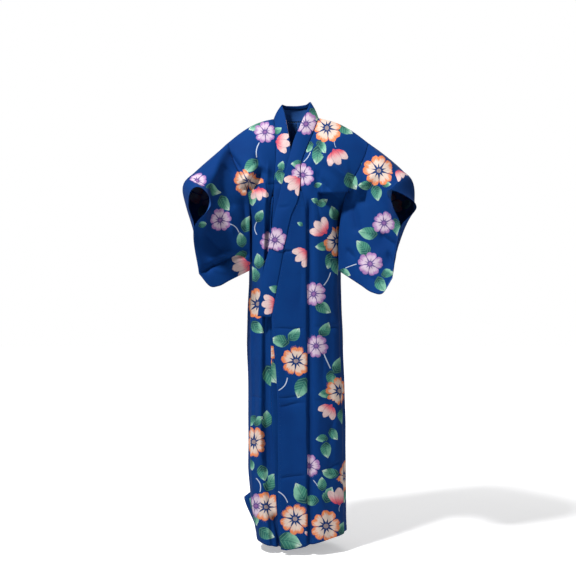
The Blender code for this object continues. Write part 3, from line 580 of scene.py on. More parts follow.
def bodyGrids(side):
    even = evenShares(mesh["frontColumns"])
    front = frontSections(side, crowdedShares(mesh["frontColumns"]))
    back = backSections(side, even)
    neckColumns = mesh["neckColumns"]
    # the two halves meet on the shoulder row, so the front's upper rows take the back's columns
    blend = smoothStep(np.arange(len(front)) / mesh["blendSections"])[:, None, None]
    evenFront = frontSections(side, even)
    front = evenFront + (front - evenFront) * blend
    middle = mesh["frontColumns"] // 2
    frontKnots = chordKnots(front[:, middle])
    backKnots = chordKnots(back[:, neckColumns + middle])
    both = np.concatenate((front[::-1], back[1:, neckColumns:]))
    knots = np.concatenate((-frontKnots[::-1], backKnots[1:]))
    frontHeights = np.stack((frontKnots, front[:, middle, 2]), axis=1)
    frontStops = rowStops(frontKnots[-1], mesh["rowStep"], pressedHeights, frontHeights)
    backHeights = np.stack((backKnots, back[:, neckColumns + middle, 2]), axis=1)
    backStops = rowStops(backKnots[-1], mesh["backRowStep"], backPressedHeights, backHeights)
    frontGrid = curveAt(both, knots, -frontStops, level=True)
    frontGrid = followCollar(side, frontGrid, even)
    backOuter = curveAt(both, knots, backStops, level=True)
    backInner = curveAt(back[:, :neckColumns], backKnots, backStops, level=True)
    return frontGrid, np.concatenate((backInner, backOuter), axis=1)


# the overlap panels

def overlapGrid(side, frontGrid):
    top = overlapTop[side]
    endZ = freeEdge[0].z
    share = evenShares(mesh["overlapColumns"])
    share = mesh["overlapEven"] * share + (1.0 - mesh["overlapEven"]) * share ** 2
    rows = []
    for seam in frontGrid[:, 0]:
        if seam[2] > top:
            continue
        nearTop = smoothStep((seam[2] - top + robe["pointLength"]) / robe["pointLength"])
        gap = robe["seamGap"] + (robe["lapGap"] - robe["seamGap"]) * nearTop
        seam = seam - np.array((side * gap, 0.0, 0.0))
        z = seam[2]
        if z > endZ:
            edge = collarSeam(side, z)
            edge[0] += side * robe["lapGap"]
        else:
            edge = np.array((tableValue(freeEdge, sideName(side), z), collarSeam(side, endZ)[1], z))
        if side < 0:
            edge[1] = -robe["underDepth"]
        if side * (seam[0] - edge[0]) < robe["overlapPoint"]:
            continue
        row = seam + (edge - seam) * share[:, None]
        row[:, 1] = seam[1] + (edge[1] - seam[1]) * share ** 2
        rows.append(row)
    grid = np.array(rows)
    grid[-1, :, 2] = hemHeight(grid[-1, :, 0], -1)
    return grid


def heldFlat(panel, moved):
    offEdge = np.linalg.norm(panel - panel[:, -1:], axis=2)
    below = (freeEdge[0].z - panel[..., 2]) / robe["heldWidth"]
    loose = np.maximum(smoothStep(offEdge / robe["heldWidth"]), smoothStep(below))
    return panel + (moved - panel) * loose[..., None]


# the collar band and the over-collar round it

def gridNormals(grid):
    down = np.gradient(grid, axis=0)
    across = np.gradient(grid, axis=1)
    normals = np.cross(across, down)
    length = np.linalg.norm(normals, axis=2, keepdims=True)
    return normals / np.maximum(length, 1e-9)


def bandPlaces():
    knots = bandEdges()[2]
    stations = np.arange(len(knots))
    steps = np.linspace(0.0, stations[-1], stations[-1] * mesh["bandRows"] + 1)
    return np.interp(steps, stations, knots)


def bandGrid(places):
    seam, free, knots, _ = bandEdges()
    seam = curveAt(seam, knots, places)
    free = curveAt(free, knots, places)
    share = evenShares(mesh["bandColumns"])[None, :, None]
    flat = seam[:, None] + (free - seam)[:, None] * share
    outward = gridNormals(flat)
    return flat + outward * (band["belly"] * np.sin(pi * share)), outward


def overCollarGrid():
    seam, free, knots, _ = bandEdges()
    middleZ = (seam[:, 2] + free[:, 2]) / 2
    first, last = len(rightBand), len(rightBand) + 1
    start = np.interp(band["overCollarEnd"], middleZ[:first], knots[:first])
    end = np.interp(-band["overCollarEnd"], -middleZ[last:], knots[last:])
    places = bandPlaces()
    margin = band["overCollarMargin"]
    places = places[(places > start + margin) & (places < end - margin)]
    grid, outward = bandGrid(np.concatenate(([start], places, [end])))
    off = robe["collarWall"] / 2 + band["overCollarGap"] + robe["overCollarWall"] / 2
    across = grid[:, -1] - grid[:, -2]
    across /= np.linalg.norm(across, axis=1, keepdims=True)
    outer = grid + outward * off
    firstWidth = np.linalg.norm(outer[:, 1] - outer[:, 0], axis=1, keepdims=True)
    outer[:, 0] += (outer[:, 1] - outer[:, 0]) * (band["overCollarInset"] / firstWidth)
    tip = grid[:, -1]
    angles = np.linspace(0.0, pi, band["turnSteps"] + 1)[1:]
    turned = [tip + off * (outward[:, -1] * cos(angle) + across * sin(angle)) for angle in angles]
    steps = band["turnedSteps"]
    inside = [turned[-1] - across * band["overCollarTurn"] * n / steps for n in range(1, steps + 1)]
    parts = [outer[:, i] for i in range(outer.shape[1])] + turned + inside
    return np.stack(parts, axis=1)


# the sleeves

Section = namedtuple("Section", "share top front back low hang lowGap hangGap")
closed = 0.0008
armholeEnd = {"front": 0.004, "back": 0.006}        # how far below the lowest row it still runs
sleeveSections = {
    1: (
        Section(0.30, (0.316, -0.092, -0.148), (0.283, -0.158, -0.221), (0.345, 0.002, -0.221),
                (0.262, -0.118, -0.430), (0.226, -0.150, -0.625), 0.034, closed),
        Section(0.58, (0.367, -0.132, -0.204), (0.316, -0.198, -0.278), (0.408, -0.060, -0.278),
                (0.326, -0.150, -0.460), (0.268, -0.190, -0.653), 0.028, closed),
        Section(0.80, (0.384, -0.190, -0.243), (0.328, -0.234, -0.310), (0.424, -0.128, -0.310),
                (0.356, -0.188, -0.470), (0.303, -0.206, -0.654), 0.014, closed),
        Section(1.00, (0.324, -0.280, -0.295), (0.331, -0.262, -0.346), (0.422, -0.203, -0.346),
                (0.361, -0.233, -0.425), (0.335, -0.215, -0.602), closed, closed),
    ),
    -1: (
        Section(0.30, (-0.308, -0.092, -0.156), (-0.282, -0.162, -0.221), (-0.343, 0.000, -0.221),
                (-0.270, -0.112, -0.430), (-0.240, -0.148, -0.607), 0.034, closed),
        Section(0.58, (-0.357, -0.130, -0.210), (-0.308, -0.208, -0.278), (-0.400, -0.062, -0.278),
                (-0.325, -0.150, -0.450), (-0.283, -0.186, -0.630), 0.028, closed),
        Section(0.80, (-0.384, -0.176, -0.248), (-0.312, -0.256, -0.309), (-0.410, -0.136, -0.309),
                (-0.350, -0.196, -0.470), (-0.313, -0.204, -0.628), 0.015, closed),
        Section(1.00, (-0.350, -0.290, -0.285), (-0.302, -0.292, -0.345), (-0.384, -0.245, -0.345),
                (-0.364, -0.244, -0.425), (-0.349, -0.214, -0.585), closed, closed),
    ),
}
InnerEdge = namedtuple("InnerEdge", "frontLow backLow hang")
innerEdges = {
    1: InnerEdge((0.152, -0.094, -0.430), (0.180, 0.008, -0.430), (0.150, -0.086, -0.572)),
    -1: InnerEdge((-0.173, -0.086, -0.430), (-0.202, 0.010, -0.430), (-0.172, -0.084, -0.571)),
}


def edgeRows(edge, shares):
    knots = chordKnots(edge)
    fine = curveAt(edge, knots, np.linspace(0.0, knots[-1], 600))
    return spreadAlong(fine, shares, 0.0, 0.0)


def sectionRows(section, shares):
    front, back = np.array(section.front), np.array(section.back)
    across = (back - front) / 2
    armGap = np.linalg.norm(across)
    across /= armGap
    line = np.array((section.top, (front + back) / 2, section.low, section.hang))
    knots = chordKnots(line)
    places = shares * knots[-1]
    middle = curveAt(line, knots, places)
    overArm = np.clip(places / knots[1], 0.0, 1.0)
    rounded = armGap * np.sqrt(1.0 - (1.0 - overArm) ** 2)
    gaps = np.array((armGap, armGap, section.lowGap, section.hangGap))[:, None]
    hanging = curveAt(gaps, knots, places, level=True)[:, 0]
    half = np.where(places < knots[1], rounded, hanging)[:, None]
    return middle - across * half, middle + across * half


def thinnedEdge(edge, step=0.028):
    # the armhole's own points, only as close as the sleeve's sections need
    knots = chordKnots(edge)
    return curveAt(edge, knots, np.linspace(0.0, knots[-1], int(knots[-1] / step) + 1))


def sleeveGrid(side, frontGrid, backGrid):
    shares = evenShares(mesh["sleeveRows"]) ** mesh["sleeveCrowd"]
    inner = innerEdges[side]
    bottom = frontRows[side][-1].outer[2]
    frontHole = frontGrid[:, -1][frontGrid[:, -1, 2] > bottom - armholeEnd["front"]]
    backHole = backGrid[:, -1][backGrid[:, -1, 2] > bottom - armholeEnd["back"]]
    away = np.array((side * robe["armholeGap"], 0.0, 0.0))
    hang = np.array(inner.hang)
    apart = np.array((0.0, closed, 0.0))
    frontEdge = np.concatenate((thinnedEdge(frontHole) + away, [inner.frontLow, hang - apart]))
    backEdge = np.concatenate((thinnedEdge(backHole) + away, [inner.backLow, hang + apart]))
    fronts = [edgeRows(frontEdge, shares)]
    backs = [edgeRows(backEdge, shares)]
    for section in sleeveSections[side]:
        front, back = sectionRows(section, shares)
        fronts.append(front)
        backs.append(back)
    knots = np.array([0.0] + [section.share for section in sleeveSections[side]])
    places = evenShares(mesh["sleeveColumns"])
    front = curveAt(np.array(fronts), knots, places)
    back = curveAt(np.array(backs), knots, places)
    whole = np.concatenate((front[:, ::-1], back[:, 1:]), axis=1)
    return np.transpose(whole, (1, 0, 2))


# the meshes

def gridFaces(rows, columns, flip, index=None):
    faces = []
    for row in range(rows - 1):
        for column in range(columns - 1):
            corners = [(row, column), (row, column + 1), (row + 1, column + 1), (row + 1, column)]
            face = [index(*corner) if index else corner[0] * columns + corner[1] for corner in corners]
            faces.append(face[::-1] if flip else face)
    return faces


def addObject(name, data):
    item = bpy.data.objects.new(name, data)
    bpy.context.scene.collection.objects.link(item)
    return item


def addSheet(name, points, faces, wall):
    data = bpy.data.meshes.new(name)
    data.from_pydata([tuple(point) for point in points], [], faces)
    data.update()
    for polygon in data.polygons:
        polygon.use_smooth = True
    piece = addObject(name, data)
    solidify = piece.modifiers.new("wall", "SOLIDIFY")
    solidify.thickness = wall
    solidify.offset = 0.0
    solidify.use_even_offset = False
    solidify.use_rim = True
    return piece


def bodyMesh(name, side, front, back):
    # front and back are one cloth and share the points of the shoulder row
    columns = front.shape[1]
    points = np.concatenate((front.reshape(-1, 3), back.reshape(-1, 3)))
    offset = len(front.reshape(-1, 3))
    neckColumns = mesh["neckColumns"]

    def backIndex(row, column):
        if row == 0 and column >= neckColumns:
            return column - neckColumns
        return offset + row * back.shape[1] + column

    faces = gridFaces(front.shape[0], columns, side > 0)
    faces += gridFaces(back.shape[0], back.shape[1], side < 0, backIndex)
    used = sorted({corner for face in faces for corner in face})
    renumber = {old: new for new, old in enumerate(used)}
    faces = [[renumber[corner] for corner in face] for face in faces]
    return addSheet(name, points[used], faces, robe["panelWall"])


Look = namedtuple("Look", "right ahead viewer")
looks = {
    "front": Look((1, 0, 0), (0, 1, 0), (-0.034, -4.0, -0.636)),
    "back": Look((-1, 0, 0), (0, -1, 0), None),
    "leftSide": Look((0, 1, 0), (-1, 0, 0), None),
    "rightSide": Look((0, -1, 0), (1, 0, 0), None),
}


def seenPlaces(points, look):
    right, ahead = np.array(look.right, dtype=float), np.array(look.ahead, dtype=float)
    flat = np.stack((points @ right, points[..., 2]), axis=-1)
    if look.viewer is None:
        return flat
    viewer = np.array(look.viewer)
    middle = np.array((viewer @ right, viewer[2]))
    far = -(viewer @ ahead)
    scale = far / (far + points @ ahead)
    return middle + (flat - middle) * scale[..., None]


def stepsAlong(grid, axis):
    steps = np.linalg.norm(np.diff(grid, axis=axis), axis=2)
    pad = [(0, 0), (0, 0)]
    pad[axis] = (1, 0)
    return np.pad(np.cumsum(steps, axis=axis), pad)


# creases, as seen from one side: a trough where depth is above zero, a ridge where it is below

Crease = namedtuple("Crease", "pieces look startX startZ endX endZ depth width")
topLayer = ("front_left", "overlap_left")
underLayer = ("front_right", "overlap_right")
bands = ("collar", "over_collar")
backs = ("back_left", "back_right")
rightArm = ("front_right", "sleeve_right")
creaseRows = (      # the cloth, the side it is seen from, and a row of places, depth and width for each
    # pressed lines where the robe lay folded away
    (("front_right",) + bands, "front", (
        (-0.132, -0.247, -0.018, -0.246, 0.0032, 0.0051),
    )),
    (bands, "front", (
        (-0.080, -0.333, -0.020, -0.331, 0.0034, 0.0051),
        (-0.118, -0.472, -0.040, -0.470, 0.0028, 0.0051),
    )),
    (topLayer, "front", (
        (-0.096, -0.788, 0.036, -0.787, 0.0036, 0.0051),
        (0.060, -0.780, 0.112, -0.786, 0.0030, 0.0061),
        (0.106, -0.790, 0.174, -0.770, 0.0064, 0.0066),
        (-0.080, -1.046, 0.040, -1.042, 0.0046, 0.0053),
        (-0.076, -1.081, 0.042, -1.062, 0.0055, 0.0059),
        (0.046, -1.052, 0.150, -1.066, 0.0025, 0.0061),
        (-0.074, -1.352, 0.038, -1.331, 0.0051, 0.0056),
        (0.060, -1.338, 0.108, -1.318, 0.0034, 0.0061),
        (0.104, -1.320, 0.174, -1.272, 0.0083, 0.0053),
        (-0.082, -1.072, -0.074, -1.345, -0.0034, 0.0046),
        (0.034, -1.066, 0.036, -1.340, -0.0025, 0.0051),
    )),
    (underLayer, "front", (
        (-0.184, -1.036, -0.120, -1.052, 0.0051, 0.0061),
        (-0.176, -0.792, -0.112, -0.800, 0.0030, 0.0056),
        (-0.170, -1.330, -0.084, -1.318, 0.0046, 0.0066),
    )),
    (("front_right",), "front", (
        (-0.140, -0.300, -0.112, -0.296, 0.0025, 0.0051),
    )),
    # the under layer falls back from the lap at the hem
    (underLayer, "front", (
        (-0.064, -1.660, -0.088, -1.470, 0.0340, 0.0095),
        (-0.104, -1.620, -0.112, -1.500, -0.0080, 0.0110),
    )),
    (("over_collar", "collar"), "front", (
        (-0.052, -0.511, -0.013, -0.540, 0.0025, 0.0056),
    )),
    (topLayer, "front", (
        (-0.062, -0.4975, -0.012, -0.4985, 0.0070, 0.0038),
    )),
    # the sag over the wearer's left armpit: its crest, the slack under it and the pull to the seam
    (("front_left", "sleeve_left"), "front", (
        (0.230, -0.276, 0.104, -0.148, -0.0080, 0.0075),
    )),
    (("front_left",), "front", (
        (0.078, -0.226, 0.126, -0.278, 0.0080, 0.0130),
        (0.082, -0.186, 0.084, -0.300, 0.0070, 0.0070),
        (0.064, -0.172, 0.066, -0.262, -0.0060, 0.0080),
        (0.076, -0.290, 0.094, -0.420, 0.0070, 0.0100),
        (0.104, -0.292, 0.122, -0.360, 0.0050, 0.0090),
        (0.128, -0.300, 0.136, -0.500, -0.0050, 0.0140),
        (0.150, -0.620, 0.158, -0.760, 0.0050, 0.0110),
        (0.096, -0.860, 0.104, -1.010, 0.0045, 0.0130),
        (0.150, -1.090, 0.118, -1.240, 0.0060, 0.0120),
        (0.086, -1.380, 0.112, -1.520, -0.0055, 0.0120),
        (0.126, -1.300, 0.166, -1.430, 0.0050, 0.0100),
    )),
    (("overlap_left",), "front", (
        (-0.050, -0.880, -0.046, -1.010, 0.0028, 0.0110),
        (0.010, -0.560, 0.014, -0.720, 0.0026, 0.0120),
        (-0.040, -1.400, -0.030, -1.540, 0.0034, 0.0110),
    )),
    # the wearer's right armpit
    (rightArm, "front", (
        (-0.210, -0.276, -0.132, -0.182, 0.0280, 0.0075),
        (-0.226, -0.250, -0.156, -0.184, -0.0100, 0.0110),
        (-0.176, -0.290, -0.122, -0.224, -0.0080, 0.0080),
        (-0.152, -0.124, -0.144, -0.206, 0.0110, 0.0060),
        (-0.266, -0.118, -0.200, -0.204, 0.0130, 0.0085),
        (-0.290, -0.170, -0.222, -0.226, 0.0080, 0.0080),
    )),
    (("front_right",), "front", (
        (-0.116, -0.150, -0.108, -0.420, 0.0046, 0.0071),
        (-0.150, -0.520, -0.158, -0.700, 0.0055, 0.0074),
        (-0.160, -1.180, -0.138, -1.300, 0.0051, 0.0110),
        (-0.150, -1.400, -0.128, -1.540, 0.0069, 0.0101),
    )),
    # the sleeves' fronts
    (("sleeve_right",), "front", (
        (-0.368, -0.584, -0.252, -0.520, 0.0250, 0.0100),
        (-0.296, -0.536, -0.176, -0.500, 0.0240, 0.0090),
        (-0.340, -0.548, -0.230, -0.486, -0.0080, 0.0160),
        (-0.356, -0.418, -0.262, -0.506, 0.0090, 0.0130),
        (-0.300, -0.210, -0.232, -0.350, 0.0080, 0.0120),
        (-0.318, -0.286, -0.314, -0.350, 0.0100, 0.0080),
        (-0.206, -0.290, -0.190, -0.440, 0.0120, 0.0110),
        (-0.262, -0.330, -0.236, -0.450, -0.0060, 0.0130),
    )),
    (("sleeve_left",), "front", (
        (0.176, -0.486, 0.226, -0.528, 0.0110, 0.0080),
        (0.300, -0.424, 0.396, -0.486, 0.0150, 0.0110),
        (0.336, -0.490, 0.380, -0.566, 0.0120, 0.0100),
        (0.262, -0.486, 0.330, -0.560, -0.0080, 0.0130),
        (0.204, -0.300, 0.232, -0.440, 0.0120, 0.0120),
        (0.236, -0.220, 0.262, -0.340, 0.0070, 0.0120),
        (0.250, -0.580, 0.320, -0.630, 0.0080, 0.0110),
    )),
    # the back
    (backs, "back", (
        (-0.150, -0.402, -0.020, -0.398, 0.0030, 0.0053),
        (0.030, -0.405, 0.156, -0.400, 0.0034, 0.0058),
        (-0.166, -0.790, 0.070, -0.784, 0.0039, 0.0055),
        (0.092, -0.796, 0.160, -0.782, 0.0028, 0.0061),
        (-0.120, -1.050, 0.168, -1.042, 0.0042, 0.0055),
        (-0.160, -1.306, -0.010, -1.300, 0.0039, 0.0059),
        (0.040, -1.308, 0.150, -1.296, 0.0030, 0.0055),
        (-0.210, -0.190, -0.090, -0.300, 0.0073, 0.0138),
        (0.214, -0.200, 0.100, -0.320, 0.0082, 0.0129),
        (-0.150, -0.340, -0.120, -0.560, 0.0077, 0.0120),
        (0.150, -0.330, 0.132, -0.520, 0.0064, 0.0110),
        (0.030, -0.560, 0.050, -0.760, 0.0051, 0.0120),
        (-0.086, -0.820, -0.100, -1.020, 0.0060, 0.0129),
        (0.096, -1.080, 0.070, -1.270, 0.0055, 0.0120),
    )),
    (("sleeve_left",), "back", (
        (-0.270, -0.250, -0.230, -0.420, 0.0091, 0.0129),
        (-0.350, -0.360, -0.270, -0.560, 0.0137, 0.0120),
        (-0.300, -0.540, -0.220, -0.580, 0.0077, 0.0110),
    )),
    (("sleeve_right",), "back", (
        (0.262, -0.240, 0.226, -0.400, 0.0082, 0.0120),
        (0.340, -0.380, 0.250, -0.540, 0.0146, 0.0120),
        (0.330, -0.560, 0.240, -0.590, 0.0069, 0.0101),
    )),
)
creases = tuple(Crease(cloth, look, *row) for cloth, look, rows in creaseRows for row in rows)
ripple = {"height": 0.0007, "waves": 7, "shortest": 0.05, "longest": 0.16, "seed": 11}
seamDip = {
    "depth": 0.0006,
    "width": 0.0028,
    "pucker": 0.0005,
    "puckerStep": 0.017,
    "puckerReach": 0.016,
    "puckerStart": 0.004,
    "unevenness": 31.0,
    "shoulderFade": 0.02,
}
hemFold = {"rise": 0.0005, "height": 0.014, "width": 0.0016}


def edgeGaps(grid):
    across = stepsAlong(grid, 1)
    down = stepsAlong(grid, 0)
    return across, across[:, -1:] - across, down, down[-1:] - down


rippleRandom = np.random.default_rng(ripple["seed"])
rippleWaves = []
for number in range(ripple["waves"]):
    length = rippleRandom.uniform(ripple["shortest"], ripple["longest"])
    heading = rippleRandom.normal(size=3)
    heading /= np.linalg.norm(heading)
    phase = rippleRandom.uniform(0, 2 * pi)
    rippleWaves.append((heading * 2 * pi / length, phase, length / ripple["longest"]))


def rippled(points):
    total = np.zeros(points.shape[:-1])
    for heading, phase, share in rippleWaves:
        total += share * np.sin(points @ heading + phase)
    return total * ripple["height"] / 2


# pulls that stretch the cloth flat on both sides of a crest
pulls = (Crease(("front_left", "sleeve_left"), "front", 0.246, -0.294, 0.072, -0.114, -0.0370, 0.1000),)
creaseForm = {
    "steepSide": 0.7,           # a crease drawn from left to right is steeper above than below
    "gentleSide": 1.35,
    "blunt": 0.22,              # its rounded bottom, as a share of its width
    "sway": 0.35,               # how far it wanders to the sides and how slowly, in widths
    "swayLength": 3.4,
    "fade": 0.035,              # how far from an end it is whole
    "fadeShare": 0.4,
    "turned": 0.3,              # cloth that turns away from the viewer takes less of it
}
layersApart = {"close": 0.020, "fade": 0.030}


def isLength(name):
    return name.startswith(("front", "back"))


def flipped(name):
    # whether a grid's faces are turned round so that they face out of the robe
    return name in ("front_left", "back_right") or (not isLength(name) and name.endswith("right"))


def outwardNormals(name, grid):
    return gridNormals(grid) * (-1.0 if flipped(name) else 1.0)


def creaseDepth(crease, number, seen):
    form = creaseForm
    isPull = crease in pulls
    start = np.array((crease.startX, crease.startZ))
    run = np.array((crease.endX, crease.endZ)) - start
    length = np.linalg.norm(run)
    run /= length
    along = (seen - start) @ run
    off = (seen - start) @ np.array((-run[1], run[0]))
    if not isPull:
        off = off + form["sway"] * crease.width * np.sin(along / (form["swayLength"] * crease.width) + number)
    fade = min(form["fade"], form["fadeShare"] * length)
    weight = smoothStep(along / fade) * smoothStep((length - along) / fade)
    share = off / (crease.width * np.where(off > 0.0, form["steepSide"], form["gentleSide"]))
    if isPull:
        profile = np.clip(1.0 - np.abs(share), 0.0, 1.0)
    else:
        profile = np.exp(form["blunt"] - np.sqrt(share ** 2 + form["blunt"] ** 2))
    return crease.depth * weight * profile


def creaseShift(name, grid, outward):
    # straight away from the viewer, so that sewn edges stay together
    shift = np.zeros_like(grid)
    # the two layers of a hanging sleeve move together where they lie close
    between = np.linalg.norm(grid - grid[::-1], axis=2)
    close = 1.0 - smoothStep((between - layersApart["close"]) / layersApart["fade"])
    for number, crease in enumerate(creases + pulls):
        if name not in crease.pieces:
            continue
        look = looks[crease.look]
        ahead = np.array(look.ahead, dtype=float)
        toward = smoothStep(-(outward @ ahead) / creaseForm["turned"])
        if name.startswith("sleeve"):
            toward = np.maximum(toward, close)
        shift += ahead * (creaseDepth(crease, number, seenPlaces(grid, look)) * toward)[..., None]
    return shift


def sewnLift(name, grid):
    # the cloth dips along a seam, puckers beside it, and is doubled at the hem
    first, last, top, bottom = edgeGaps(grid)
    lift = rippled(grid)
    if name.endswith("collar"):
        return lift
    for gap in (first, last) if isLength(name) else (first,):
        lift -= seamDip["depth"] * np.exp(-(gap / seamDip["width"]) ** 2)
        wave = np.sin(top / seamDip["puckerStep"] * 2 * pi + 2.0 * np.sin(top * seamDip["unevenness"]))
        reach = np.exp(-gap / seamDip["puckerReach"]) * smoothStep(gap / seamDip["puckerStart"])
        lift += seamDip["pucker"] * wave * reach
    if isLength(name):
        # front and back share the points of the shoulder row
        lift *= smoothStep(top / seamDip["shoulderFade"])
    if not name.startswith("sleeve"):
        above = hemFold["height"] + hemFold["width"] - bottom
        lift += hemFold["rise"] * smoothStep(above / hemFold["width"])
    return lift


def creased(name, grid):
    outward = outwardNormals(name, grid)
    shift = creaseShift(name, grid, outward)
    if isLength(name):
        shift *= smoothStep(edgeGaps(grid)[2] / seamDip["shoulderFade"])[..., None]
    return grid + outward * sewnLift(name, grid)[..., None] + shift


grids = {}
for side in (1, -1):
    front, back = bodyGrids(side)
    overlap = overlapGrid(side, front)
    sleeve = sleeveGrid(side, front, back)
    grids["front_" + sideName(side)] = foldCloth(side, front)
    grids["back_" + sideName(side)] = foldCloth(side, back)
    grids["overlap_" + sideName(side)] = heldFlat(overlap, foldCloth(side, overlap))
    grids["sleeve_" + sideName(side)] = sleeve + sagShift(side, sleeve)
grids["collar"] = bandGrid(bandPlaces())[0]
grids["over_collar"] = overCollarGrid()

for name, grid in grids.items():
    grids[name] = creased(name, grid)

pieces = {}
walls = {"collar": robe["collarWall"], "over_collar": robe["overCollarWall"]}
for side in (1, -1):
    body = "body_" + sideName(side)
    pieces[body] = bodyMesh(body, side, grids["front" + body[4:]], grids["back" + body[4:]])
for name, grid in grids.items():
    if not isLength(name):
        faces = gridFaces(*grid.shape[:2], flipped(name))
        pieces[name] = addSheet(name, grid.reshape(-1, 3), faces, walls.get(name, robe["panelWall"]))
print("robe pieces", {name: len(piece.data.polygons) for name, piece in pieces.items()})


# cloth coordinates in metres: across a piece and along it. A body length is one strip that runs from
# the front hem over the shoulder to the back hem, and a sleeve one strip over the arm.

def clothPlaces(name, grid):
    across = stepsAlong(grid, 1)
    down = stepsAlong(grid, 0)
    if isLength(name):
        across = across - across[:, -1:]
    if name.startswith("front"):
        down = -down
    if name.startswith("sleeve"):
        middle = grid.shape[0] // 2
        down = down - down[middle]
        across = across - across[middle, 0]
    return np.stack((across, down), axis=2)


# the print. A motif's middle, its size and where its tip points are given as seen from one side:
# from the front with the camera's own perspective, from elsewhere straight on.

